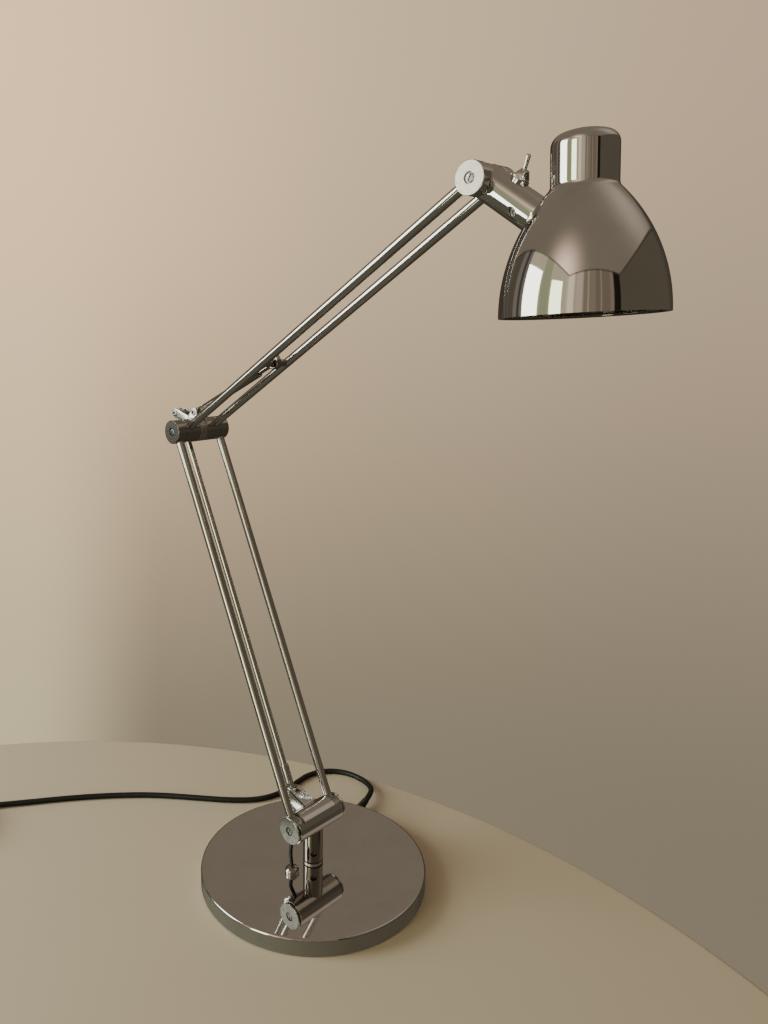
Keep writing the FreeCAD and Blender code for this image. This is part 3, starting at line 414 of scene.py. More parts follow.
@dataclass(frozen=True)
class FeltPad(Finish):
    """Dark felt-faced rubber under the base."""

    def sockets(self, shader: Shader) -> dict[str, Any]:
        """Matt fibres.

        Args:
            shader: The material's nodes.

        Returns:
            What feeds each input.
        """
        fibre = shader.noise(shader.place(stretch=(1.0, 1.0, 6.0)), 1600.0, 5.0)
        lint = shader.band(shader.noise(shader.place(), 900.0, 2.0), 0.62, 0.72)
        return {
            "Base Color": shader.mix((0.016, 0.016, 0.017), (0.06, 0.058, 0.055), 0.6 * fibre + 0.4 * lint),
            "Roughness": 0.85 + 0.1 * fibre,
            "Normal": shader.bump(fibre, 0.6, 0.0002),
        }


@dataclass(frozen=True)
class Brass(Finish):
    """Plated brass of the plug's pins and the bulb's cap."""

    bright: Colour = (0.78, 0.70, 0.50)
    dull: Colour = (0.55, 0.46, 0.30)

    def sockets(self, shader: Shader) -> dict[str, Any]:
        """Metal with tarnish and wiping marks.

        Args:
            shader: The material's nodes.

        Returns:
            What feeds each input.
        """
        tarnish = shader.band(shader.noise(shader.place(), 310.0, 4.0), 0.4, 0.7)
        wipe = shader.noise(shader.place(stretch=(1.0, 1.0, 9.0)), 1500.0, 2.0)
        return {
            "Base Color": shader.mix(self.bright, self.dull, 0.6 * tarnish + 0.3 * wipe),
            "Metallic": 1.0,
            "Roughness": 0.20 + 0.15 * tarnish + 0.06 * wipe,
        }


@dataclass(frozen=True)
class OpalGlass(Finish):
    """Frosted bulb glass with a faint cloudiness."""

    def sockets(self, shader: Shader) -> dict[str, Any]:
        """Milky glass.

        Args:
            shader: The material's nodes.

        Returns:
            What feeds each input.
        """
        cloud = shader.noise(shader.place(), 90.0, 4.0)
        return {
            "Base Color": shader.mix((0.93, 0.91, 0.86), (0.84, 0.82, 0.77), cloud),
            "Roughness": 0.24 + 0.12 * cloud,
            "Transmission Weight": 0.3,
            "IOR": 1.48,
        }


@dataclass(frozen=True)
class WovenStrap(Finish):
    """Woven hook-and-loop strap."""

    def sockets(self, shader: Shader) -> dict[str, Any]:
        """Plain weave in relief with fuzz.

        Args:
            shader: The material's nodes.

        Returns:
            What feeds each input.
        """
        at = shader.place(turn=(0.0, 0.0, math.radians(100.0)))
        warp, weft = (shader.node("ShaderNodeTexWave", {"bands_direction": axis},
                                  {"Vector": at, "Scale": 380.0}, "Fac") for axis in "XY")
        weave, fuzz = warp * weft, shader.noise(at, 1800.0, 3.0)
        return {
            "Base Color": shader.mix((0.014, 0.014, 0.015), (0.07, 0.07, 0.07), 0.5 * weave + 0.3 * fuzz),
            "Roughness": 0.8 + 0.12 * fuzz,
            "Normal": shader.bump(weave + 0.4 * fuzz, 0.5, 0.0002),
        }


@dataclass(frozen=True)
class Lacquer(Finish):
    """Pale reflector lacquer inside the shade."""

    tone: Colour = (0.80, 0.79, 0.76)
    aged: Colour = (0.70, 0.67, 0.60)

    def sockets(self, shader: Shader) -> dict[str, Any]:
        """Satin paint with orange peel and faint ageing.

        Args:
            shader: The material's nodes.

        Returns:
            What feeds each input.
        """
        at = shader.place()
        age = shader.band(shader.noise(at, 45.0, 4.0), 0.4, 0.75)
        peel = shader.noise(at, 700.0, 2.0)
        return {
            "Base Color": shader.mix(self.tone, self.aged, age),
            "Roughness": 0.34 + 0.1 * age,
            "Normal": shader.bump(peel, 0.15, 0.0001),
        }


@dataclass(frozen=True)
class PaleTop(Finish):
    """Plain pale surface that the lamp stands on."""

    light: Colour = (0.70, 0.595, 0.44)
    dark: Colour = (0.64, 0.545, 0.40)

    def sockets(self, shader: Shader) -> dict[str, Any]:
        """Satin surface with faint clouding.

        Args:
            shader: The material's nodes.

        Returns:
            What feeds each input.
        """
        at = shader.place()
        cloud = shader.noise(at, 5.0, 4.0)
        grain = shader.noise(at, 900.0, 3.0)
        return {
            "Base Color": shader.mix(self.light, self.dark, 0.7 * cloud + 0.3 * grain),
            "Roughness": 0.70 + 0.1 * grain,
            "Specular IOR Level": 0.25,
            "Normal": shader.bump(grain, 0.05, 0.0001),
        }


CHROME = Plating("mirror_plating")
# Chrome in a darker tone: painted shade on plated parts that lie in shadow or face the dark side of the room
HALF_SHADE_CHROME = Plating("dark_plating", (0.44, 0.42, 0.39), (0.36, 0.345, 0.32), 0.05)
# Chrome darker still: painted shade, on the post under the shoulder and on the rim inside the shade
DEEP_SHADE_CHROME = Plating("shaded_plating", (0.24, 0.23, 0.205), (0.18, 0.172, 0.155), 0.06)
# The skirt's own plating tone, with a share of diffuse colour: painted light and shade standing in for what
# the skirt reflects
SKIRT_PAINTED_CHROME = Plating("skirt_plating", (0.76, 0.74, 0.66), (0.64, 0.625, 0.555), 0.09, 0.9)
SATIN = OiledSteel("satin_ring_steel", (0.62, 0.59, 0.54), (0.50, 0.475, 0.43), 0.42)
SHEET = BrightSheet("bright_sheet")
PIN_STEEL = OiledSteel("pin_steel", (0.62, 0.61, 0.58), (0.45, 0.44, 0.42), 0.24)
DARK_STEEL = OiledSteel("dark_screw_steel")
# Darkened screw steel: painted shade on screws that sit in holes and recesses
SHADE_DARKENED_SCREW_STEEL = OiledSteel("browned_screw_steel", (0.24, 0.23, 0.21), (0.14, 0.135, 0.12), 0.34)
BLACK_PLASTIC = Moulding("black_moulding")
SHEATH = Moulding("cord_sheath", (0.009, 0.009, 0.009), (0.02, 0.02, 0.02), 0.36, 1400.0, 0.00005)
WASHER_PLASTIC = Moulding("washer_plastic", (0.02, 0.02, 0.02), (0.05, 0.05, 0.05), 0.5)
HOLDER_PLASTIC = Moulding("holder_moulding", (0.80, 0.78, 0.73), (0.68, 0.66, 0.60), 0.34, 900.0, 0.00005)
IRON = CastIron("cast_iron")
FELT = FeltPad("base_felt")
BRASS = Brass("plated_brass")
OPAL = OpalGlass("frosted_glass")
STRAP = WovenStrap("woven_strap")
LACQUER = Lacquer("reflector_lacquer")
PALE = PaleTop("pale_top")


# Layout


def heading(degrees: float) -> Vector:
    """Unit vector in the XZ plane, turned up from +X."""
    return Vector((math.cos(math.radians(degrees)), 0.0, math.sin(math.radians(degrees))))


def flat_heading(degrees: float) -> Vector:
    """Unit vector in the XY plane, turned from +X towards +Y."""
    return Vector((math.cos(math.radians(degrees)), math.sin(math.radians(degrees)), 0.0))


def metres(point: Vector) -> Point:
    """A point in millimetres, in metres."""
    return tuple(point * MM)


@dataclass(frozen=True)
class Layout:
    """Pivots and directions of the lamp at rest, in millimetres."""

    shoulder_height: float = 57.5
    lower_length: float = 366.0
    lower_lean_back: float = 24.7
    upper_length: float = 355.6
    upper_rise: float = 31.4
    stem_fall: float = 33.4
    shade_lean_back: float = 3.3
    ear: Point = (-26.5, 0.0, 14.0)
    strut_ear: Point = (2.2, 0.0, 16.6)
    crossbar_along: float = 124.0
    rim_offset: Point = (71.4, 0.0, -83.7)

    @property
    def lower_way(self) -> Vector:
        """Direction of the lower arm, upwards."""
        return heading(90.0 + self.lower_lean_back)

    @property
    def upper_way(self) -> Vector:
        """Direction of the upper arm, towards the head."""
        return heading(self.upper_rise)

    @property
    def stem_way(self) -> Vector:
        """Direction of the stem, towards the shade."""
        return heading(-self.stem_fall)

    @property
    def stem_top_way(self) -> Vector:
        """Direction square to the stem, upwards."""
        return heading(90.0 - self.stem_fall)

    @property
    def shade_way(self) -> Vector:
        """Axis of the shade, from its rim to its crown."""
        return heading(90.0 + self.shade_lean_back)

    @property
    def shoulder(self) -> Vector:
        """Pivot of the lower arm."""
        return Vector((0.0, 0.0, self.shoulder_height))

    @property
    def elbow(self) -> Vector:
        """Pivot between the arms."""
        return self.shoulder + self.lower_way * self.lower_length

    @property
    def head(self) -> Vector:
        """Pivot of the head."""
        return self.elbow + self.upper_way * self.upper_length

    @property
    def link_foot(self) -> Vector:
        """Lower pin of the parallel link."""
        return self.shoulder + Vector(self.ear)

    @property
    def link_head(self) -> Vector:
        """Upper pin of the parallel link."""
        return self.elbow + Vector(self.ear)

    @property
    def strut_foot(self) -> Vector:
        """Pin of the strut on the elbow bracket."""
        return self.elbow + Vector(self.strut_ear)

    @property
    def crossbar(self) -> Vector:
        """Middle of the crossbar between the upper rods."""
        return self.elbow + self.upper_way * self.crossbar_along

    @property
    def rim(self) -> Vector:
        """Middle of the shade's rim."""
        return self.head + Vector(self.rim_offset)


LAYOUT = Layout()
ORIGIN = Vector((0.0, 0.0, 0.0))
ACROSS = Vector((0.0, 1.0, 0.0))
UP = Vector((0.0, 0.0, 1.0))
# The same turned steel in three tones: the head's face lighter, the shoulder's and elbow's faces darker,
# painted light and shade for how each end is lit
SHOULDER_SHADE_FACE = TurnedSteel("turned_face_shoulder", metres(LAYOUT.shoulder),
                            (0.20, 0.20, 0.178), (0.11, 0.11, 0.097))
ELBOW_SHADE_FACE = TurnedSteel("turned_face_elbow", metres(LAYOUT.elbow),
                         (0.13, 0.125, 0.112), (0.075, 0.072, 0.064))
HEAD_LIT_FACE = TurnedSteel("turned_face_head", metres(LAYOUT.head), (0.66, 0.625, 0.53), (0.49, 0.46, 0.39))


class Side(Enum):
    """Side of the lamp along Y."""

    NEAR = -1
    FAR = 1

    @property
    def word(self) -> str:
        """Name of the side for piece and node names."""
        return self.name.lower()

    def at(self, point: Vector, y: float) -> Vector:
        """The point moved to a distance from the middle on this side."""
        return Vector((point.x, self.value * y, point.z))

    def span(self, first: float, second: float) -> list[float]:
        """Two distances from the middle as Y on this side, the lower first."""
        return sorted((self.value * first, self.value * second))

    @property
    def inward(self) -> Vector:
        """Direction from this side towards the middle."""
        return ACROSS * -self.value


# Forms


class Profile:
    """Half section of a turned form: a wire in the XZ plane, X outwards and Z along the axis."""

    def __init__(self, radius: float, height: float) -> None:
        """Start the wire at a radius and height.

        Args:
            radius: Radius of its first point.
            height: Height of its first point.
        """
        self.bm = bmesh.new()
        self.first = self.bm.verts.new((radius, 0.0, height))
        self.end = self.first
        self.soft: list[tuple[bmesh.types.BMVert, float]] = []

    def to(self, radius: float, height: float, soft: float = 0.0) -> "Profile":
        """Add a straight run.

        Args:
            radius: Radius at its end.
            height: Height at its end.
            soft: How far the corner at its end is rounded back.

        Returns:
            The same profile.
        """
        made = bmesh.ops.extrude_vert_indiv(self.bm, verts=[self.end])
        self.end = made["verts"][0]
        self.end.co = (radius, 0.0, height)
        if soft > 0.0:
            self.soft.append((self.end, soft))
        return self

    def arc(self, radius: float, height: float, degrees: float, steps: int) -> "Profile":
        """Add an arc, anticlockwise where the turn is above zero.

        Args:
            radius: Radius of the arc's centre.
            height: Height of the arc's centre.
            degrees: Turn about that centre.
            steps: Number of straight pieces.

        Returns:
            The same profile.
        """
        made = bmesh.ops.spin(self.bm, geom=[self.end], cent=(radius, 0.0, height), axis=(0.0, -1.0, 0.0),
                              dvec=(0.0, 0.0, 0.0), angle=math.radians(degrees), steps=steps)
        self.end = made["geom_last"][0]
        return self

    def close(self) -> "Profile":
        """Join the end to the start, for a ring."""
        self.bm.edges.new((self.end, self.first))
        return self

    def finish(self, brace: float) -> bmesh.types.BMesh:
        """Round the soft corners and brace the long runs.

        Args:
            brace: Distance of the extra points from the ends of a long run.

        Returns:
            The finished wire.
        """
        for vert, soft in self.soft:
            round_corners(self.bm, [vert], soft, 4)
        for edge in [item for item in self.bm.edges if item.calc_length() > 4.0 * brace]:
            start, end = edge.verts
            _, middle = bmesh.utils.edge_split(edge, start, brace / edge.calc_length())
            rest = next(item for item in middle.link_edges if end in item.verts)
            bmesh.utils.edge_split(rest, end, brace / rest.calc_length())
        return self.bm


class Form:
    """Mesh of one piece in the making, in millimetres."""

    def __init__(self) -> None:
        """Start empty."""
        self.bm = bmesh.new()

    def take(self, part: bmesh.types.BMesh, place: Matrix) -> "Form":
        """Move a part to its place and join it to the form.

        Args:
            part: Mesh that is used up.
            place: Where it goes.

        Returns:
            The same form.
        """
        bmesh.ops.transform(part, matrix=place, verts=part.verts)
        mesh = bpy.data.meshes.new("part")
        part.to_mesh(mesh)
        part.free()
        self.bm.from_mesh(mesh)
        bpy.data.meshes.remove(mesh)
        return self

    def join(self, other: "Form") -> "Form":
        """Add another form, which is used up."""
        return self.take(other.bm, Matrix.Identity(4))

    def turn(self, profile: Profile, foot: Vector, way: Vector, steps: int = 96,
             brace: float = 0.25) -> "Form":
        """Add a turned form.

        Args:
            profile: Its half section.
            foot: Where height 0 of its axis is.
            way: Direction of its axis.
            steps: Number of flats round it.
            brace: Distance of the extra rings from the ends of a long run.

        Returns:
            The same form.
        """
        part = profile.finish(brace)
        bmesh.ops.spin(part, geom=part.verts[:] + part.edges[:], cent=(0.0, 0.0, 0.0), axis=(0.0, 0.0, 1.0),
                       dvec=(0.0, 0.0, 0.0), angle=math.tau, steps=steps, use_merge=True)
        bmesh.ops.remove_doubles(part, verts=part.verts, dist=POLE_MERGE)
        bmesh.ops.recalc_face_normals(part, faces=part.faces)
        return self.take(part, stand(foot, way))

    def bar(self, start: Vector, end: Vector, radius: float, soft: float = 0.3, steps: int = 64) -> "Form":
        """Add a round bar with softened ends.

        Args:
            start: Middle of its first end.
            end: Middle of its other end.
            radius: Its radius.
            soft: Rounding of its ends.
            steps: Number of flats round it.

        Returns:
            The same form.
        """
        length = (end - start).length
        profile = Profile(0.0, 0.0).to(radius, 0.0, soft).to(radius, length, soft).to(0.0, length)
        return self.turn(profile, start, end - start, steps)

    def plate(self, outline: Sequence[Corner], origin: Vector, y0: float, y1: float, edge: float = 0.25,
              holes: Sequence[Corner] = ()) -> "Form":
        """Add a flat plate that lies across Y.

        Args:
            outline: Corners as forward, up and rounding, from the origin.
            origin: Point that they are measured from.
            y0: Y of one face.
            y1: Y of the other face.
            edge: Rounding of the plate's edges.
            holes: Round holes as forward, up and radius.

        Returns:
            The same form.
        """
        part = bmesh.new()
        corners = [part.verts.new((x, 0.0, z)) for x, z, _ in outline]
        close_loop(part, corners)
        for vert, (_, _, soft) in zip(corners, outline):
            if soft > 0.0:
                round_corners(part, [vert], soft, 5)
        for x, z, radius in holes:
            add_ring(part, Vector((x, 0.0, z)), radius, 40)
        bmesh.ops.triangle_fill(part, use_beauty=True, use_dissolve=False, edges=part.edges[:],
                                normal=(0.0, -1.0, 0.0))
        pull(part, bmesh.ops.extrude_face_region(part, geom=part.faces[:], use_keep_orig=True), y1 - y0)
        if edge > 0.0:
            soften(part, edge, CREASE)
        return self.take(part, Matrix.Translation((origin.x, y0, origin.z)))

    def prism(self, sides: int, foot_radius: float, top_radius: float, height: float, place: Matrix,
              edge: float) -> "Form":
        """Add a straight or tapering prism with rounded edges.

        Args:
            sides: Number of its sides.
            foot_radius: Distance of the foot's corners from the axis.
            top_radius: Distance of the top's corners from the axis.
            height: Its height.
            place: Where its foot stands.
            edge: Rounding of its edges.

        Returns:
            The same form.
        """
        part = bmesh.new()
        bmesh.ops.create_cone(part, cap_ends=True, segments=sides, radius1=foot_radius, radius2=top_radius,
                              depth=height, matrix=Matrix.Translation((0.0, 0.0, height / 2.0)))
        soften(part, edge, math.radians(15.0))
        return self.take(part, place)

    def cut(self, tool: "Form") -> "Form":
        """Cut another form away from this one.

        Args:
            tool: Form that is used up.

        Returns:
            The same form.
        """
        body, knife = [item.draft() for item in (self, tool)]
        cutting = body.modifiers.new("cut", "BOOLEAN")
        cutting.object = knife
        cutting.operation = "DIFFERENCE"
        cutting.solver = "EXACT"
        shape = body.evaluated_get(bpy.context.evaluated_depsgraph_get())
        mesh = bpy.data.meshes.new_from_object(shape)
        self.bm.clear()
        self.bm.from_mesh(mesh)
        bpy.data.meshes.remove(mesh)
        tool.bm.free()
        for item in (body, knife):
            drawn = item.data
            bpy.data.objects.remove(item)
            bpy.data.meshes.remove(drawn)
        return self

    def draft(self) -> bpy.types.Object:
        """Object that shows the form as it is now, for a cut.

        Returns:
            The object, in the scene.
        """
        mesh = bpy.data.meshes.new("draft")
        self.bm.to_mesh(mesh)
        item = bpy.data.objects.new("draft", mesh)
        bpy.context.scene.collection.objects.link(item)
        return item

    def paint(self, index: int, chosen: Callable[[bmesh.types.BMFace], bool]) -> "Form":
        """Give the faces that a test picks another of the piece's finishes.

        Args:
            index: Place of the finish in the piece's list.
            chosen: Test of a face.

        Returns:
            The same form.
        """
        for face in self.bm.faces:
            if chosen(face):
                face.material_index = index
        return self

    def settle(self, name: str, finishes: Union[Finish, Sequence[Finish]], body: str, slot: str,
               *nodes: str) -> Piece:
        """Make the piece, in metres, and put it on its body.

        Args:
            name: Name of the piece.
            finishes: Its finish, or several in the order that its faces use.
            body: Body that it moves with.
            slot: Name of its finish's slot, passed on to place_piece, which does not use it.
            nodes: Solids that it stands for.

        Returns:
            The piece.
        """
        several = [finishes] if isinstance(finishes, Finish) else finishes
        return place_piece(self.show(name, several), body, slot, *nodes)

    def show(self, name: str, finishes: Sequence[Finish], unit: float = MM) -> bpy.types.Object:
        """Make the object in the scene, with its finishes.

        Args:
            name: Name of the object.
            finishes: Its finishes, in the order that its faces use.
            unit: Length of one unit of the form, in metres.

        Returns:
            The object.
        """
        bmesh.ops.scale(self.bm, vec=(unit, unit, unit), verts=self.bm.verts)
        mesh = bpy.data.meshes.new(name)
        self.bm.to_mesh(mesh)
        self.bm.free()
        mesh.shade_smooth()
        mesh.set_sharp_from_angle(angle=SHARP_ANGLE)
        for finish in finishes:
            mesh.materials.append(finish.material())
        item = bpy.data.objects.new(name, mesh)
        bpy.context.scene.collection.objects.link(item)
        return item


def stand(foot: Vector, way: Vector) -> Matrix:
    """Place that turns +Z to a direction and moves the origin to a point."""
    return Matrix.Translation(foot) @ way.to_track_quat("Z", "Y").to_matrix().to_4x4()


def close_loop(part: bmesh.types.BMesh, corners: list[bmesh.types.BMVert]) -> None:
    """Join corners to a closed wire."""
    for first, second in zip(corners, corners[1:] + corners[:1]):
        part.edges.new((first, second))


def round_corners(part: bmesh.types.BMesh, corners: list[bmesh.types.BMVert], soft: float,
                  segments: int) -> None:
    """Round corners of a wire back by a length, each with a number of straight pieces."""
    bmesh.ops.bevel(part, geom=corners, offset=soft, offset_type="OFFSET", segments=segments, profile=0.5,
                    affect="VERTICES", material=-1)


def add_ring(part: bmesh.types.BMesh, middle: Vector, radius: float, segments: int) -> None:
    """Add a round wire that stands across Y, of a number of straight pieces."""
    upright = Matrix.Translation(middle) @ Matrix.Rotation(math.radians(90.0), 4, "X")
    bmesh.ops.create_circle(part, cap_ends=False, radius=radius, segments=segments, matrix=upright)


def pull(part: bmesh.types.BMesh, made: dict[str, Any], reach: float) -> None:
    """Move what an extrusion made along Y, and turn the faces outwards.

    Args:
        part: Mesh that is changed.
        made: What the extrusion gave back.
        reach: How far it is moved.
    """
    moved = [item for item in made["geom"] if isinstance(item, bmesh.types.BMVert)]
    bmesh.ops.translate(part, vec=(0.0, reach, 0.0), verts=moved)
    bmesh.ops.recalc_face_normals(part, faces=part.faces)


def soften(part: bmesh.types.BMesh, width: float, angle: float) -> None:
    """Round the edges of a mesh whose faces meet at more than an angle.

    Args:
        part: Mesh that is changed.
        width: How far the edges are rounded back.
        angle: Least angle between the faces, in radians.
    """
    edges = [edge for edge in part.edges if len(edge.link_faces) == 2 and edge.calc_face_angle() > angle]
    bmesh.ops.bevel(part, geom=edges, offset=width, offset_type="OFFSET", segments=3, profile=0.5,
                    affect="EDGES", clamp_overlap=True, material=-1)


def place_piece(piece: Piece, body: str, slot: str, *nodes: str) -> Piece:
    """Put a finished piece on its body and hide the solids that it stands for.

    Args:
        piece: The piece, in place.
        body: Body that it moves with.
        slot: Name of its finish's slot; it is not used.
        nodes: Solids that it stands for.

    Returns:
        The piece.
    """
    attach(piece, body)
    if nodes:
        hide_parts(*nodes)
    return piece


def carry_over(finish: Finish, *nodes: str) -> list[Piece]:
    """Give solids that stay in view a finish.

    Args:
        finish: Their finish.
        nodes: Their names.

    Returns:
        Their objects.
    """
    kept = [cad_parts[node] for node in nodes]
    for item in kept:
        for place in item.material_slots:
            place.material = finish.material()
    return kept


def slotted_screw(foot: Vector, way: Vector, radius: float, length: float, lean: float) -> Form:
    """Screw with a slot across its domed face.

    Args:
        foot: Middle of the face.
        way: Direction into the piece that it holds.
        radius: Radius of its head.
        length: Its length.
        lean: Turn of the slot about its axis, in degrees.

    Returns:
        The screw.
    """
    profile = Profile(0.0, -0.12).to(radius * 0.55, -0.06).to(radius, 0.12, 0.18)
    profile.to(radius, length).to(0.0, length)
    slot = bmesh.new()
    bmesh.ops.create_cube(slot, size=1.0, matrix=Matrix.Diagonal((radius * 0.34, radius * 1.55, 1.5, 1.0)))
    tool = Form().take(slot, stand(foot, way) @ Matrix.Rotation(math.radians(lean), 4, "Z"))
    return Form().turn(profile, foot, way, 48).cut(tool)


def socket_screw(foot: Vector, way: Vector, radius: float, length: float) -> Form:
    """Headless screw with a hexagonal socket.

    Args:
        foot: Middle of its face.
        way: Direction into the piece that it holds.
        radius: Its radius.
        length: Its length.

    Returns:
        The screw.
    """
    profile = Profile(0.0, 0.0).to(radius, 0.0, 0.25).to(radius, length).to(0.0, length)
    socket = Form().prism(6, radius * 0.58, radius * 0.58, 1.6, stand(foot - way * 0.5, way), 0.02)
    return Form().turn(profile, foot, way, 40).cut(socket)


def rivet(pin: Vector, reach: float, finish: Finish, body: str, name: str, *nodes: str) -> Piece:
    """Make a hollow rivet across two side plates, whose rolled ends reach so far from its middle."""
    return rivet_form(Form(), pin, reach).settle(name, finish, body, "satin_steel", *nodes)


def rivet_form(form: Form, pin: Vector, reach: float) -> Form:
    """Add a hollow rivet to a form.

    Args:
        form: Form that it is added to.
        pin: Its middle.
        reach: Distance of its rolled ends from the middle.

    Returns:
        The same form.
    """
    length = 2.0 * reach
    profile = Profile(1.45, 0.0).to(2.3, -0.05, 0.2).to(3.2, 0.35, 0.3).to(3.1, 1.0, 0.2).to(2.2, 1.0)
    profile.to(2.2, length - 1.0).to(3.1, length - 1.0, 0.2).to(3.2, length - 0.35, 0.3)
    profile.to(2.3, length + 0.05, 0.2).to(1.45, length).close()
    return form.turn(profile, Side.NEAR.at(pin, reach), ACROSS, 48)


def add_tongue(form: Form, pin: Vector, way: Vector, radius: float, half: float, wide: float,
               reach: float) -> Form:
    """Add a flat tongue round a pin, with a blade that runs into a round sleeve.

    Args:
        form: Form that it is added to.
        pin: Its pin.
        way: Direction of the sleeve from it.
        radius: Radius of the tongue round its pin.
        half: Half of its thickness.
        wide: Half of the blade's width.
        reach: Distance of the blade's end from the pin.

    Returns:
        The same form.
    """
    ring = Profile(TONGUE_BORE, 0.0).to(radius, 0.0, 0.3).to(radius, 2.0 * half, 0.3)
    form.turn(ring.to(TONGUE_BORE, 2.0 * half).close(), Side.NEAR.at(pin, half), ACROSS, 64)
    near, far, side = way * (radius * 0.75), way * reach, ACROSS.cross(way) * wide
    blade = [(point.x, point.z, 0.0) for point in (near + side, far + side, far - side, near - side)]
    return form.plate(blade, pin, -half, half, 0.2)


# Sub-assemblies


@dataclass
class BaseAssembly:
    """Plated disc base with its weight, pad, stud, lead gland and strain relief."""

    radius: float = 100.0
    top: float = 15.5
    edge_round: float = 1.8
    wall: float = 1.5
    foot: float = 0.8
    gland_at: Point = (-1.0, -25.0, 15.5)
    gland_radius: float = 6.2
    gland_collar: float = 3.2
    gland_dome: float = 6.6
    gland_groove: float = 0.35
    cord_turn: float = 108.0
    cord_height: float = 7.5
    relief_start: float = 95.5
    relief_collar: float = 102.0
    relief_end: float = 122.0
    relief_radius: float = 4.4
    relief_tip: float = 3.3
    relief_ribs: int = 6
    relief_flange: float = 1.4
    flange_height: float = 1.5
    rib_depth: float = 0.65
    body: str = "base"

    def build(self) -> list[Piece]:
        """Make the base's pieces.

        Returns:
            The pieces.
        """
        pieces = [self.cover(), self.gland(), self.relief()]
        pieces += carry_over(IRON, "base_weight")
        pieces += carry_over(FELT, "base_pad")
        pieces += carry_over(PIN_STEEL, "spigot", "spigot_nut")
        return pieces + carry_over(WASHER_PLASTIC, "swivel_washer")

    def cover(self) -> Piece:
        """Make the polished disc with its turned-down skirt.

        Returns:
            The piece.
        """
        inner = self.radius - self.wall
        profile = Profile(0.0, self.top).to(self.radius, self.top, self.edge_round)
        profile.to(self.radius, self.foot, 0.3).to(inner, self.foot, 0.3)
        profile.to(inner, self.top - self.wall, 0.5).to(0.0, self.top - self.wall)
        form = Form().turn(profile, ORIGIN, UP, 288, 0.4)
        skirt = self.top - self.edge_round
        # The skirt's faces take their own plating tone: painted light and shade on the same plated part as
        # the top
        form.paint(1, lambda item: abs(item.normal.z) < 0.3 and item.calc_center_median().z < skirt)
        return form.settle("base_disc", (CHROME, SKIRT_PAINTED_CHROME), self.body, "chrome", "base_cover")

    def gland(self) -> Piece:
        """Make the domed gland that the short lead rises from.

        Returns:
            The piece.
        """
        rise = self.gland_dome - self.gland_collar
        ball = (self.gland_radius ** 2 + rise ** 2) / (2.0 * rise)
        centre = self.gland_dome - ball
        turn = 90.0 - math.degrees(math.asin((self.gland_collar - centre) / ball))
        profile = Profile(0.0, self.gland_dome).arc(0.0, centre, -turn, 20)
        groove = self.gland_radius - self.gland_groove
        profile.to(self.gland_radius, 1.1, 0.2).to(groove, 0.9).to(groove, 0.7)
        profile.to(self.gland_radius, 0.5, 0.2).to(self.gland_radius, 0.0).to(0.0, 0.0)
        form = Form().turn(profile, Vector(self.gland_at), UP, 72)
        # The gland is in the darker chrome: painted shade
        return form.settle("lead_gland", HALF_SHADE_CHROME, self.body, "chrome", "cable_gland")

    def relief(self) -> Piece:
        """Make the ribbed strain relief in the skirt.

        Returns:
            The piece.
        """
        way = flat_heading(self.cord_turn)
        foot = way * self.relief_start + UP * self.cord_height
        seat = self.radius + 0.1 - self.relief_start
        profile = Profile(0.0, 0.0).to(self.relief_radius, 0.0).to(self.relief_radius, seat)
        flange, flange_top = self.relief_radius + self.relief_flange, seat + self.flange_height
        profile.to(flange, seat, 0.2).to(flange, flange_top, 0.7)
        start = self.relief_collar - self.relief_start
        profile.to(self.relief_radius, flange_top).to(self.relief_radius, start)
        length = self.relief_end - self.relief_collar
        pitch = length / self.relief_ribs
        for rib in range(self.relief_ribs):
            share = (rib + 0.5) / self.relief_ribs
            outer = self.relief_radius + (self.relief_tip - self.relief_radius) * share
            at = start + pitch * rib
            groove = outer - self.rib_depth
            profile.to(groove, at + 0.25, 0.1).to(groove, at + pitch * 0.38, 0.1)
            profile.to(outer, at + pitch * 0.5, 0.25).to(outer - 0.05, at + pitch * 0.98, 0.25)
        profile.to(0.0, start + length)
        form = Form().turn(profile, foot, way, 48)
        return form.settle("cord_relief", BLACK_PLASTIC, self.body, "black_plastic", "cord_bush")


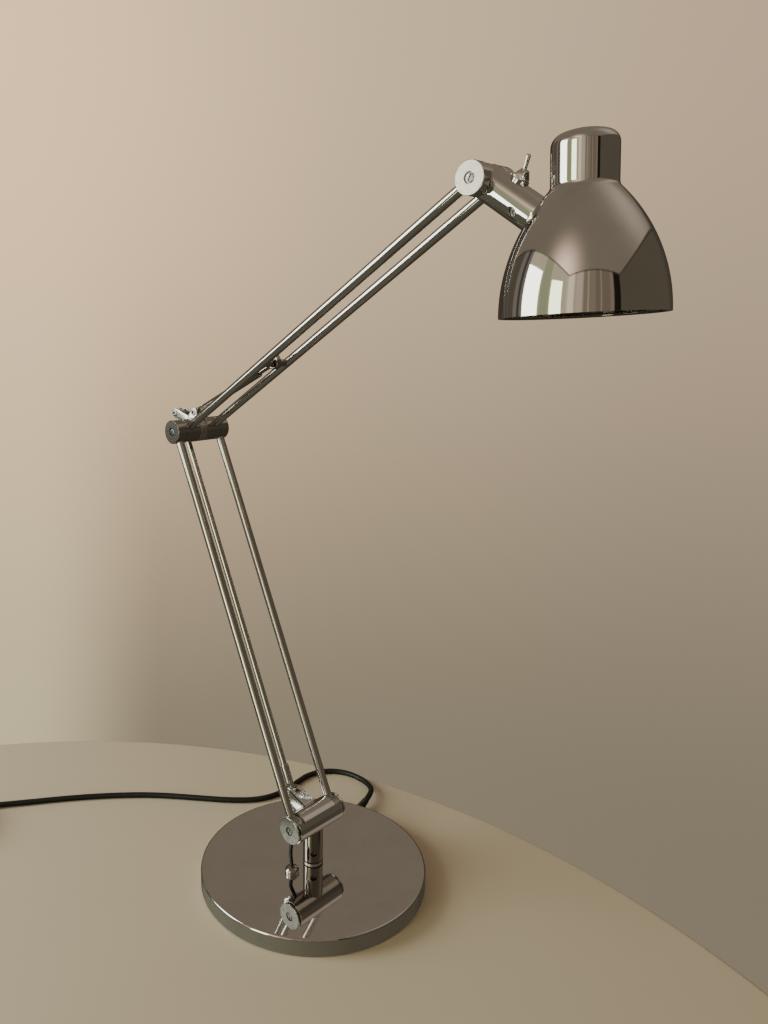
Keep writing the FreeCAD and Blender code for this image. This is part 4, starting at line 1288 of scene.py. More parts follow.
@dataclass
class Cords:
    """Mains cord with its tied coil and plug, and the short lead up to the shoulder.

    The lengths of the cords are in metres, and other sizes in millimetres.
    """

    radius: float = 2.8
    exit_turn: float = 108.0
    exit_reach: float = 122.0
    exit_height: float = 7.5
    first_run: float = 16.0
    bends: tuple[Point, ...] = (
        (-55.0, 144.0, 4.4), (-73.5, 150.5, 2.85), (-95.0, 148.0, 2.85), (-112.5, 135.0, 2.85),
        (-120.0, 114.5, 2.85), (-116.5, 91.0, 2.85), (-114.0, 68.0, 2.85), (-121.0, 44.0, 2.85),
        (-141.0, 22.0, 2.85), (-172.0, -2.0, 2.85), (-205.0, -28.0, 2.85), (-235.0, -60.0, 2.85),
        (-262.0, -95.0, 2.85), (-286.0, -131.0, 2.85), (-307.0, -164.0, 3.9), (-326.0, -192.7, 3.9))
    coil_pitch: float = 6.4
    coil_outer: float = 41.5
    coil_turns_in: float = 3.5
    coil_turns_out: float = 3.0
    coil_tail: float = 34.0
    coil_points: int = 16
    length: float = 1.809
    tie_width: float = 9.0
    tie_wall: float = 0.8
    tie_slack: float = 1.2
    tie_turn: float = 100.0
    tie_corner: float = 3.0
    root_length: float = 9.0
    plug_length: float = 36.0
    plug_half_width: float = 15.0
    pin_radius: float = 2.0
    pin_length: float = 19.0
    pin_spacing: float = 19.0
    lead_radius: float = 1.7
    lead_route: tuple[Point, ...] = (
        (-1.0, -25.0, 20.0), (-5.5, -23.4, 30.5), (-7.2, -18.6, 40.5), (-6.0, -15.6, 49.0))
    lead_length: float = 0.0317

    def build(self) -> list[Piece]:
        """Make both cords and what is on them.

        Returns:
            The pieces.
        """
        centre, first = self.coil_frame()
        turns = math.tau * (self.coil_turns_in + 0.5 + self.coil_turns_out)
        count = int(round(self.coil_points * turns / math.tau))
        coil = [self.coil_place(turns * k / count, centre, first) for k in range(count + 1)]
        way = Vector((-math.sin(first + turns), math.cos(first + turns), 0.0))
        last = coil[-1] + way * self.coil_tail
        tie = self.tie(centre)
        body = self.plug_body(last, way)
        prongs = self.plug_prongs(last + way * self.plug_length, way)
        out = flat_heading(self.exit_turn)
        start = out * self.exit_reach + UP * self.exit_height
        bends = [Vector(point) for point in self.bends]
        cord = self.mains([start, start + out * self.first_run, *bends, *coil, last])
        metres(start)
        return [cord, tie, body, prongs, self.short_lead()]

    def coil_frame(self) -> tuple[Vector, float]:
        """Centre of the coil and the angle of its first point.

        Returns:
            The centre and the angle in radians.
        """
        before, start = Vector(self.bends[-2]), Vector(self.bends[-1])
        arrive = (start - before).normalized()
        lead_in = start + arrive * (2.0 * self.radius)
        out = Vector((arrive.y, -arrive.x, 0.0))
        return lead_in - out * self.coil_outer, math.atan2(out.y, out.x)

    def coil_place(self, turn: float, centre: Vector, first: float) -> Vector:
        """Point of the coil's middle line: it spirals in, climbs a layer and spirals out.

        Args:
            turn: Turn from its first point, in radians.
            centre: Middle of the coil.
            first: Angle of its first point.

        Returns:
            The point.
        """
        turn_in = math.tau * self.coil_turns_in
        reverse = turn_in + math.pi / 2.0
        radius = self.coil_outer - self.coil_pitch / math.tau * (reverse - abs(turn - reverse))
        climb = min(max((turn - turn_in) / math.pi, 0.0), 1.0)
        rise = self.coil_pitch * (climb - math.sin(math.tau * climb) / math.tau)
        place = first + turn
        return centre + Vector((radius * math.cos(place), radius * math.sin(place), rise))

    def spline(self, name: str, route: Sequence[Vector], thickness: float) -> bpy.types.Object:
        """Curve object with one smooth open spline along a route.

        Args:
            name: Name of the object.
            route: Its control points, in millimetres.
            thickness: Radius of the cord in millimetres, or 0 for the bare line.

        Returns:
            The object, not yet in the scene.
        """
        curve = bpy.data.curves.new(name, "CURVE")
        curve.dimensions = "3D"
        line = curve.splines.new("NURBS")
        line.points.add(len(route) - 1)
        for point, place in zip(line.points, route):
            point.co = (*metres(place), 1.0)
        line.order_u = 3
        line.use_endpoint_u = True
        line.resolution_u = 6
        curve.bevel_depth = thickness * MM
        curve.bevel_resolution = 5
        curve.use_fill_caps = True
        return bpy.data.objects.new(name, curve)

    def mains(self, route: Sequence[Vector]) -> Piece:
        """Make the mains cord and its coil as one cord.

        Args:
            route: Its control points, in millimetres.

        Returns:
            The piece.
        """
        cord = self.spline("mains_lead", route, self.radius)
        cord.data.materials.append(SHEATH.material())
        bpy.context.scene.collection.objects.link(cord)
        return place_piece(cord, "base", "cord", "mains_cord", "cord_coil")

    def short_lead(self) -> Piece:
        """Make the lead between the base and the shoulder, as it lies at rest; on the lamp it bends when the
        shoulder swivels.

        Returns:
            The piece.
        """
        route = [Vector(point) for point in self.lead_route]
        tube = self.spline("short_lead_tube", route, self.lead_radius)
        mesh = bpy.data.meshes.new_from_object(tube)
        line = self.spline("short_lead_line", route, 0.0)
        middle = bpy.data.meshes.new_from_object(line)
        bpy.data.meshes.remove(middle)
        for item in (tube, line):
            drawn = item.data
            bpy.data.objects.remove(item)
            bpy.data.curves.remove(drawn)
        form = Form()
        form.bm.from_mesh(mesh)
        bpy.data.meshes.remove(mesh)
        bmesh.ops.remove_doubles(form.bm, verts=form.bm.verts, dist=CORD_MERGE)
        bmesh.ops.recalc_face_normals(form.bm, faces=form.bm.faces)
        lead = form.show("short_lead", [SHEATH], 1.0)
        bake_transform(lead)
        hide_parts("jumper_lead")
        return lead

    def tie(self, centre: Vector) -> Piece:
        """Make the strap round the coil, with its loose end pressed down on top.

        Args:
            centre: Middle of the coil.

        Returns:
            The piece.
        """
        inner = self.coil_outer - self.coil_pitch * (self.coil_turns_in + 0.25) - self.radius - self.tie_slack
        outer = self.coil_outer + self.radius + self.tie_slack
        low = self.bends[-1][2] - self.radius - 0.2
        high = self.bends[-1][2] + self.coil_pitch + self.radius + 0.3
        middle, half = (inner + outer) / 2.0, (outer - inner) / 2.0
        rise, half_rise = (low + high) / 2.0, (high - low) / 2.0
        loop = bmesh.new()
        corners = [loop.verts.new((middle + x * half, 0.0, rise + z * half_rise))
                   for x, z in ((-1, -1), (1, -1), (1, 1), (-1, 1))]
        close_loop(loop, corners)
        round_corners(loop, corners, self.tie_corner, 6)
        pull(loop, bmesh.ops.extrude_edge_only(loop, edges=loop.edges[:]), self.tie_width)
        bmesh.ops.solidify(loop, geom=loop.faces[:], thickness=-self.tie_wall)
        flap = bmesh.new()
        size = Matrix.Diagonal((half * 1.1, self.tie_width * 0.96, self.tie_wall * 0.9, 1.0))
        on_top = Matrix.Translation((middle + 2.0, self.tie_width / 2.0, high + self.tie_wall * 1.2))
        bmesh.ops.create_cube(flap, size=1.0, matrix=on_top @ size)
        soften(flap, 0.3, CREASE)
        turned = Matrix.Rotation(math.radians(self.tie_turn), 4, "Z")
        centred = Matrix.Translation((0.0, -self.tie_width / 2.0, 0.0))
        place = Matrix.Translation((centre.x, centre.y, 0.0)) @ turned @ centred
        form = Form().take(loop, place).take(flap, place)
        return form.settle("coil_strap", STRAP, "base", "tie", "coil_tie")

    def plug_body(self, foot: Vector, way: Vector) -> Piece:
        """Make the moulded plug with finger ridges and a ribbed neck.

        Args:
            foot: Where the cord enters.
            way: Direction of the pins.

        Returns:
            The piece.
        """
        tall, wide = foot.z - 0.25, self.plug_half_width
        groove = tall * 0.95
        neck = ((0.0, 4.6, 4.4), (0.6, 5.0, 4.8), (3.4, 5.1, 4.9), (4.0, 4.4, 4.2), (5.2, 4.4, 4.2),
                (5.8, 5.6, 5.2), (9.0, 7.4, 6.2), (12.0, 9.6, 7.4), (18.0, 12.9, 8.9))
        grip = ((22.0, 14.6, tall * 0.98), (23.0, 14.0, groove), (24.5, 14.0, groove), (25.5, 14.8, tall),
                (27.0, 14.2, groove), (28.5, 14.2, groove), (29.5, wide, tall), (35.0, wide, tall),
                (self.plug_length, 14.2, tall - 0.8))
        side = UP.cross(way)
        turned = Matrix((side, UP, way)).transposed().to_4x4()
        part = bmesh.new()
        loops = []
        for along, across, high in neck + grip:
            sized = Matrix.Translation((0.0, 0.0, along)) @ Matrix.Diagonal((across, high, 1.0, 1.0))
            made = bmesh.ops.create_circle(part, cap_ends=False, radius=1.0, segments=48, matrix=sized)
            loops.append(list({edge for vert in made["verts"] for edge in vert.link_edges}))
        for first, second in zip(loops, loops[1:]):
            bmesh.ops.bridge_loops(part, edges=first + second)
        bmesh.ops.holes_fill(part, edges=loops[0] + loops[-1], sides=0)
        bmesh.ops.recalc_face_normals(part, faces=part.faces)
        form = Form().take(part, Matrix.Translation(foot) @ turned)
        return form.settle("plug_moulding", BLACK_PLASTIC, "base", "black_plastic", "plug_body")

    def plug_prongs(self, face: Vector, way: Vector) -> Piece:
        """Make the two round pins with insulated roots.

        Args:
            face: Middle of the plug's face.
            way: Direction of the pins.

        Returns:
            The piece.
        """
        side = UP.cross(way) * (self.pin_spacing / 2.0)
        form = Form()
        for offset in (side, -side):
            bare = self.pin_radius - 0.12
            profile = Profile(0.0, -0.5).to(self.pin_radius, -0.5).to(self.pin_radius, self.root_length, 0.1)
            profile.to(bare, self.root_length + 0.1).to(bare, self.pin_length, 1.4).to(0.0, self.pin_length)
            form.turn(profile, face + offset, way, 40)
        form.paint(1, lambda item: (item.calc_center_median() - face).dot(way) < self.root_length + 0.05)
        return form.settle("plug_prongs", (BRASS, BLACK_PLASTIC), "base", "plug_brass", "plug_pins")


@dataclass
class Shoulder:
    """Post on the swivel with the cross tube and the link's bracket."""

    post_radius: float = 9.0
    post_foot: float = 18.0
    screw_height: float = 27.5
    screw_radius: float = 2.3
    screw_turn: float = -42.0
    tube_radius: float = 12.4
    tube_bore: float = 10.6
    tube_half: float = 26.6
    web_half: float = 18.8
    notch_back: float = 56.0
    notch_front: float = 50.0
    plate_inner: float = 4.6
    plate_outer: float = 6.1
    slot_half: float = 2.6
    hole_gap: float = 0.6
    screw_sunk: float = 1.3
    screw_length: float = 3.2
    bracket: tuple[Corner, ...] = (
        (-10.5, 2.0, 0.0), (-3.5, 10.5, 0.0), (-5.0, 12.6, 0.5), (-23.5, 19.2, 1.5), (-29.5, 18.6, 2.4),
        (-31.2, 14.5, 2.0), (-29.5, 10.2, 1.6))
    web_front: tuple[Corner, ...] = (
        (-3.5, 10.5, 0.0), (-5.0, 12.6, 0.3), (-12.0, 15.1, 0.0), (-11.5, 13.6, 0.0))
    web_rear: tuple[Corner, ...] = (
        (-11.5, 13.4, 0.0), (-12.0, 15.1, 0.0), (-23.5, 19.2, 0.4), (-23.1, 17.7, 0.0))
    body: str = "shoulder"

    def build(self) -> list[Piece]:
        """Make the shoulder's pieces.

        Returns:
            The pieces.
        """
        pieces = [self.post(), self.set_screw(), self.tube(), self.link_bracket()]
        return pieces + [rivet(LAYOUT.link_foot, self.plate_outer + RIVET_STAND, PIN_STEEL, self.body,
                               "bracket_rivet", "bracket_pin")]

    def post(self) -> Piece:
        """Make the round post, with the hole of its set screw.

        Returns:
            The piece.
        """
        top = LAYOUT.shoulder_height - self.tube_radius * 0.5
        profile = Profile(0.0, self.post_foot).to(self.post_radius, self.post_foot, 0.5)
        profile.to(self.post_radius, top).to(0.0, top)
        way = flat_heading(self.screw_turn)
        level = UP * self.screw_height
        hole = Form().bar(level + way * 5.0, level + way * (self.post_radius + 3.0),
                          self.screw_radius + self.hole_gap, 0.0, 40)
        form = Form().turn(profile, ORIGIN, UP, 96).cut(hole)
        # The post is plated in the deep-shade tone: painted shade under the shoulder
        return form.settle("post_column", DEEP_SHADE_CHROME, self.body, "chrome", "shoulder_post")

    def set_screw(self) -> Piece:
        """Make the socket screw in the post.

        Returns:
            The piece.
        """
        way = flat_heading(self.screw_turn)
        face = UP * self.screw_height + way * (self.post_radius - self.screw_sunk)
        form = socket_screw(face, -way, self.screw_radius, self.screw_length)
        # The screw is in darkened steel: painted shade in its hole
        return form.settle("post_grub_screw", SHADE_DARKENED_SCREW_STEEL, self.body, "screw_steel", "post_set_screw")

    def tube(self) -> Piece:
        """Make the cross tube with a swing notch at each end.

        Returns:
            The piece.
        """
        length = 2.0 * self.tube_half
        web = self.tube_half - self.web_half
        profile = Profile(0.0, web).to(self.tube_bore, web, 0.3).to(self.tube_bore, 0.0, 0.25)
        profile.to(self.tube_radius, 0.0, 0.35).to(self.tube_radius, length, 0.35)
        profile.to(self.tube_bore, length, 0.25).to(self.tube_bore, length - web, 0.3).to(0.0, length - web)
        form = Form().turn(profile, Side.NEAR.at(LAYOUT.shoulder, self.tube_half), ACROSS, 128)
        for side in Side:
            form.cut(self.notch(side))
        return form.settle("shoulder_barrel", CHROME, self.body, "chrome", "shoulder_tube")

    def notch(self, side: Side) -> Form:
        """Wedge that is cut from the top of the tube, for a rod to swing in.

        Args:
            side: End of the tube.

        Returns:
            The wedge.
        """
        reach = self.tube_radius * 2.0
        ways = [heading(90.0 + turn) for turn in (-self.notch_front, 0.0, self.notch_back)]
        outline = [(0.0, 0.0, 0.0)] + [(way.x * reach, way.z * reach, 0.0) for way in ways]
        y0, y1 = side.span(self.web_half, self.tube_half + 3.0)
        return Form().plate(outline, LAYOUT.shoulder, y0, y1, 0.0)

    def link_bracket(self) -> Piece:
        """Make the folded bracket: two side plates and a slotted web.

        Returns:
            The piece.
        """
        form = Form()
        hole = [(LAYOUT.ear[0], LAYOUT.ear[2], PIN_HOLE)]
        for side in Side:
            y0, y1 = side.span(self.plate_inner, self.plate_outer)
            form.plate(self.bracket, LAYOUT.shoulder, y0, y1, 0.3, hole)
        form.plate(self.web_front, LAYOUT.shoulder, -self.plate_outer, self.plate_outer, 0.15)
        for side in Side:
            y0, y1 = side.span(self.slot_half, self.plate_outer)
            form.plate(self.web_rear, LAYOUT.shoulder, y0, y1, 0.15)
        return form.settle("shoulder_bracket", SHEET, self.body, "chrome", "link_bracket")


@dataclass
class Arms:
    """Twin-rod lower and upper arms with their knuckles, caps and screws."""

    rod_radius: float = 3.75
    rod_inset: float = 5.6
    lower_y: float = 23.5
    upper_y: float = 14.5
    knuckle_radius: float = 10.8
    knuckle_edge: float = 0.45
    cap_radius: float = 11.8
    cap_thickness: float = 1.7
    cap_outer: float = 29.6
    elbow_outer: float = 29.4
    elbow_seam: float = 19.15
    inner_seam: float = 18.85
    ring_half: float = 4.2
    side_gap: float = 0.3
    head_outer: float = 19.0
    head_seam: float = 10.0
    screw_radius: float = 3.1
    screw_gap: float = 0.7
    screw_length: float = 1.0
    screw_sunk: float = 0.3
    slot_lean: float = 24.0
    recess: float = 1.3
    crossbar_radius: float = 3.0
    grub_radius: float = 1.4
    grub_along: float = 7.5
    grub_length: float = 2.6

    def build(self) -> list[Piece]:
        """Make the pieces of both arms.

        Returns:
            The pieces.
        """
        pieces = []
        for side in Side:
            pieces += self.lower_side(side) + self.upper_side(side)
        # The lower screws are in darkened steel: painted shade in their recesses
        pieces += [self.cap_screws("lower_arm", "lower_cap_screws", SHADE_DARKENED_SCREW_STEEL,
                                   ((LAYOUT.shoulder, self.cap_outer), (LAYOUT.elbow, self.elbow_outer))),
                   self.cap_screws("upper_arm", "head_cap_screws", DARK_STEEL,
                                   ((LAYOUT.head, self.head_outer),)),
                   self.crossbar(), self.grub_screws()]
        pieces += carry_over(DARK_STEEL, "shoulder_hub_near", "shoulder_hub_far")
        return pieces + carry_over(PIN_STEEL, "shoulder_axle", "elbow_axle", "head_axle")

    def lower_side(self, side: Side) -> list[Piece]:
        """Make one side of the lower arm: its rod, shoulder cap and elbow knuckle.

        Args:
            side: Side of the lamp.

        Returns:
            Its three pieces.
        """
        way = LAYOUT.lower_way * self.rod_inset
        start = side.at(LAYOUT.shoulder, self.lower_y) + way
        end = side.at(LAYOUT.elbow, self.lower_y) - way
        rod = Form().bar(start, end, self.rod_radius).settle(
            f"lower_bar_{side.word}", CHROME, "lower_arm", "chrome", f"lower_rod_{side.word}")
        cap = self.end_disc(LAYOUT.shoulder, side, self.cap_outer, self.cap_radius, self.cap_thickness)
        # The shoulder's face is in a dark steel tone: painted shade
        cap = cap.settle(f"shoulder_disc_{side.word}", (CHROME, SHOULDER_SHADE_FACE), "lower_arm", "satin_steel",
                         f"shoulder_cap_{side.word}")
        knuckle = self.end_disc(LAYOUT.elbow, side, self.elbow_outer, self.knuckle_radius,
                                self.elbow_outer - self.elbow_seam)
        # The elbow end is in the darker chrome with a dark face tone: painted shade
        knuckle = knuckle.settle(f"elbow_end_{side.word}", (HALF_SHADE_CHROME, ELBOW_SHADE_FACE), "lower_arm", "chrome",
                                 f"elbow_outer_knuckle_{side.word}")
        return [rod, cap, knuckle]

    def upper_side(self, side: Side) -> list[Piece]:
        """Make one side of the upper arm: its rod, inner elbow knuckle and head knuckle.

        Args:
            side: Side of the lamp.

        Returns:
            Its three pieces.
        """
        way = LAYOUT.upper_way * self.rod_inset
        start = side.at(LAYOUT.elbow, self.upper_y) + way
        end = side.at(LAYOUT.head, self.upper_y) - way
        rod = Form().bar(start, end, self.rod_radius).settle(
            f"upper_bar_{side.word}", CHROME, "upper_arm", "chrome", f"upper_rod_{side.word}")
        length = self.inner_seam - self.ring_half - self.side_gap
        profile = Profile(AXLE_BORE, 0.0).to(self.knuckle_radius, 0.0, self.knuckle_edge)
        profile.to(self.knuckle_radius, length, self.knuckle_edge).to(AXLE_BORE, length).close()
        inner = Form().turn(profile, side.at(LAYOUT.elbow, self.inner_seam), side.inward, 96)
        # The sleeve is in the darker chrome: painted shade
        inner = inner.settle(f"elbow_sleeve_{side.word}", HALF_SHADE_CHROME, "upper_arm", "chrome",
                             f"elbow_inner_knuckle_{side.word}")
        outer = self.end_disc(LAYOUT.head, side, self.head_outer, self.knuckle_radius,
                              self.head_outer - self.head_seam)
        # The head's face is in a light steel tone: painted light
        outer = outer.settle(f"head_end_{side.word}", (CHROME, HEAD_LIT_FACE), "upper_arm", "chrome",
                             f"head_knuckle_{side.word}")
        return [rod, inner, outer]

    def end_disc(self, pivot: Vector, side: Side, outer: float, radius: float, length: float) -> Form:
        """Turned end of a pivot with a satin face and a recess for its screw.

        Args:
            pivot: Pivot that it closes.
            side: Side of the lamp.
            outer: Distance of its face from the middle.
            radius: Its radius.
            length: Its length along the pivot.

        Returns:
            The form, with its face as the second finish.
        """
        hollow = self.screw_radius + self.screw_gap
        profile = Profile(0.0, self.recess).to(hollow, self.recess).to(hollow, 0.0, 0.12)
        profile.to(radius, 0.0, self.knuckle_edge).to(radius, length, self.knuckle_edge).to(0.0, length)
        form = Form().turn(profile, side.at(pivot, outer), side.inward, 112)
        return form.paint(1, lambda item: self.on_face(item, pivot, side, outer))

    def on_face(self, item: bmesh.types.BMFace, pivot: Vector, side: Side, outer: float) -> bool:
        """Tell the satin end of a turned disc, with the recess of its screw, from its bright rim.

        Args:
            item: Face of the disc.
            pivot: Pivot that the disc closes.
            side: Side of the lamp.
            outer: Distance of the disc's end from the middle.

        Returns:
            Whether the face is satin.
        """
        middle = item.calc_center_median()
        reach = math.hypot(middle.x - pivot.x, middle.z - pivot.z)
        depth = outer - middle.y * side.value
        in_recess = reach < self.screw_radius + self.screw_gap + 0.15
        return depth < (self.recess + 0.15 if in_recess else 0.05)

    def cap_screws(self, body: str, node: str, finish: Finish,
                   ends: Sequence[tuple[Vector, float]]) -> Piece:
        """Make the slotted screws in the end faces of one arm.

        Args:
            body: Body that they move with.
            node: Solid that they stand for.
            finish: Finish of the screws.
            ends: Pivots, each with the distance of its face.

        Returns:
            The piece.
        """
        form = Form()
        for pivot, outer in ends:
            for side in Side:
                form.join(slotted_screw(side.at(pivot, outer - self.screw_sunk), side.inward,
                                        self.screw_radius, self.screw_length, self.slot_lean))
        return form.settle(f"{body}_slot_screws", finish, body, "screw_steel", node)

    def crossbar(self) -> Piece:
        """Make the bar between the upper rods.

        Returns:
            The piece.
        """
        reach = self.upper_y - 1.0
        form = Form().bar(Side.NEAR.at(LAYOUT.crossbar, reach), Side.FAR.at(LAYOUT.crossbar, reach),
                          self.crossbar_radius, 0.2, 48)
        # The crossbar is in the darker chrome: painted shade between the rods
        return form.settle("strut_crossbar", HALF_SHADE_CHROME, "upper_arm", "chrome", "crossbar")

    def grub_screws(self) -> Piece:
        """Make the grub screws under the upper rods' sockets.

        Returns:
            The piece.
        """
        down = heading(LAYOUT.upper_rise - 90.0)
        form = Form()
        for side in Side:
            foot = side.at(LAYOUT.elbow, self.upper_y) + LAYOUT.upper_way * self.grub_along
            start = foot + down * self.rod_radius
            form.bar(start, foot + down * (self.rod_radius + self.grub_length), self.grub_radius, 0.2, 32)
        return form.settle("sleeve_grub_screws", DARK_STEEL, "upper_arm", "screw_steel", "knuckle_set_screws")


@dataclass
class ParallelLink:
    """Thin rod behind the lower arm that keeps the elbow level."""

    rod_radius: float = 2.6
    sleeve_radius: float = 3.6
    sleeve_start: float = 8.0
    sleeve_end: float = 25.0
    socket: float = 13.0
    tongue_half: float = 2.0
    tongue_radius: float = 4.2
    body: str = "link"

    def build(self) -> list[Piece]:
        """Make the rod and its two ends.

        Returns:
            The pieces.
        """
        way = LAYOUT.lower_way
        start, end = LAYOUT.link_foot + way * self.socket, LAYOUT.link_head - way * self.socket
        rod = Form().bar(start, end, self.rod_radius)
        return [rod.settle("link_bar", CHROME, self.body, "chrome", "link_rod"),
                self.end("link_fork_lower", LAYOUT.link_foot, way, "link_end_lower"),
                self.end("link_fork_upper", LAYOUT.link_head, -way, "link_end_upper")]

    def end(self, name: str, pin: Vector, way: Vector, node: str) -> Piece:
        """Make a flat tongue round a pin that runs into a round sleeve.

        Args:
            name: Name of the piece.
            pin: Its pin.
            way: Direction of the rod from it.
            node: Solid that it stands for.

        Returns:
            The piece.
        """
        profile = Profile(0.0, self.sleeve_start).to(self.sleeve_radius, self.sleeve_start, 0.9)
        profile.to(self.sleeve_radius, self.sleeve_end, 0.5).to(0.0, self.sleeve_end)
        form = Form().turn(profile, pin, way, 64)
        add_tongue(form, pin, way, self.tongue_radius, self.tongue_half, self.sleeve_radius * 0.92,
                   self.sleeve_start + 3.0)
        return form.settle(name, CHROME, self.body, "chrome", node)


@dataclass
class ElbowYoke:
    """Middle ring of the elbow with the bright bracket for the link and the strut."""

    radius: float = 10.8
    ring_half: float = 4.2
    plate_inner: float = 4.6
    plate_outer: float = 6.1
    bracket: tuple[Corner, ...] = (
        (-6.5, 7.5, 0.0), (-27.5, 9.4, 1.6), (-31.0, 13.0, 2.0), (-30.2, 17.2, 2.0), (-26.5, 18.6, 1.6),
        (-22.5, 17.6, 1.2), (-6.0, 12.8, 1.2), (-2.0, 18.2, 0.6), (0.0, 20.6, 1.4), (3.0, 21.2, 1.4),
        (6.0, 19.6, 1.6), (7.0, 16.0, 1.6), (5.5, 8.0, 0.0))
    web: tuple[Corner, ...] = (
        (-9.5, 7.0, 0.0), (-7.4, 11.6, 0.5), (-4.8, 12.0, 0.5), (4.2, 12.0, 0.6), (4.2, 7.0, 0.0))
    web_edge: tuple[Corner, ...] = ((-6.2, 11.5, 0.0), (-4.8, 12.0, 0.0), (3.6, 12.0, 0.0), (3.2, 11.5, 0.0))
    body: str = "elbow_yoke"

    def build(self) -> list[Piece]:
        """Make the ring, its bracket and the rivets.

        Returns:
            The pieces.
        """
        length = 2.0 * self.ring_half
        profile = Profile(AXLE_BORE, 0.0).to(self.radius, 0.0, 0.4).to(self.radius, length, 0.4)
        profile.to(AXLE_BORE, length).close()
        ring = Form().turn(profile, Side.NEAR.at(LAYOUT.elbow, self.ring_half), ACROSS, 96)
        pins = Form()
        for pin in (LAYOUT.link_head, LAYOUT.strut_foot):
            rivet_form(pins, pin, self.plate_outer + RIVET_STAND)
        return [ring.settle("elbow_middle_ring", SATIN, self.body, "chrome", "elbow_ring"), self.plates(),
                pins.settle("yoke_rivets", PIN_STEEL, self.body, "satin_steel", "yoke_pins")]

    def plates(self) -> Piece:
        """Make the bracket's two side plates and the web between them.

        Returns:
            The piece.
        """
        form = Form()
        holes = [(x, z, PIN_HOLE) for x, _, z in (LAYOUT.ear, LAYOUT.strut_ear)]
        for side in Side:
            y0, y1 = side.span(self.plate_inner, self.plate_outer)
            start, end = (side.at(LAYOUT.elbow, y) for y in (self.ring_half, self.plate_outer + 2.0))
            gap = Form().bar(start, end, self.radius + 0.4, 0.0, 96)
            form.join(Form().plate(self.bracket, LAYOUT.elbow, y0, y1, 0.3, holes).cut(gap))
        form.plate(self.web, LAYOUT.elbow, -self.ring_half, self.ring_half, 0.2)
        for side in Side:
            y0, y1 = side.span(self.ring_half, self.plate_inner + 0.05)
            form.plate(self.web_edge, LAYOUT.elbow, y0, y1, 0.0)
        return form.settle("elbow_plates", SHEET, self.body, "chrome", "elbow_bracket")


@dataclass
class Strut:
    """Telescopic strut from the elbow bracket to the crossbar."""

    tube_radius: float = 3.5
    tube_start: float = 6.5
    tube_end: float = 93.5
    bore_start: float = 18.5
    rod_radius: float = 2.0
    rod_start: float = 40.0
    tongue_radius: float = 4.2
    tongue_half: float = 2.0
    eye_half: float = 2.4
    eye_wall: float = 1.5
    eye_along: float = 4.3
    eye_side: float = 4.9
    eye_shift: tuple[float, float] = (0.6, 1.15)

    def build(self) -> list[Piece]:
        """Make the tube and the rod that slides in it."""
        way = (LAYOUT.crossbar - LAYOUT.strut_foot).normalized()
        return [self.tube(way), self.rod(way)]

    def tube(self, way: Vector) -> Piece:
        """Make the tube with the flat eye at its foot.

        Args:
            way: Direction of the strut.

        Returns:
            The piece.
        """
        profile = Profile(0.0, self.tube_start).to(self.tube_radius, self.tube_start, 0.8)
        profile.to(self.tube_radius, self.tube_end, 0.5).to(self.rod_radius + 0.1, self.tube_end)
        profile.to(self.rod_radius + 0.1, self.bore_start).to(0.0, self.bore_start)
        form = Form().turn(profile, LAYOUT.strut_foot, way, 64)
        add_tongue(form, LAYOUT.strut_foot, way, self.tongue_radius, self.tongue_half,
                   self.tube_radius * 0.95, self.tube_start + 4.0)
        # The barrel is in the darker chrome: painted shade
        return form.settle("strut_barrel", HALF_SHADE_CHROME, "strut", "chrome", "strut_tube")

    def rod(self, way: Vector) -> Piece:
        """Make the sliding rod with its slotted eye.

        Args:
            way: Direction of the strut.

        Returns:
            The piece.
        """
        side = Vector((-way.z, 0.0, way.x))
        eye = LAYOUT.crossbar + way * self.eye_shift[0] + side * self.eye_shift[1]
        start = LAYOUT.strut_foot + way * self.rod_start
        end = LAYOUT.crossbar - way * (self.eye_along + 0.5)
        form = Form().bar(start, end, self.rod_radius, 0.2, 48)
        spread = side * (self.eye_side - self.eye_along)
        part = bmesh.new()
        for radius in (self.eye_along + self.eye_wall, self.eye_along):
            add_ring(part, ACROSS * -self.eye_half, radius, 48)
        for vert in part.verts:
            vert.co += spread if vert.co.dot(side) > 0.0 else -spread
        bmesh.ops.bridge_loops(part, edges=part.edges[:])
        made = bmesh.ops.extrude_face_region(part, geom=part.faces[:], use_keep_orig=True)
        pull(part, made, 2.0 * self.eye_half)
        soften(part, 0.3, CREASE)
        form.take(part, Matrix.Translation(eye))
        # The rod is in the darker chrome: painted shade
        return form.settle("strut_plunger_rod", HALF_SHADE_CHROME, "strut_plunger", "chrome", "strut_rod")


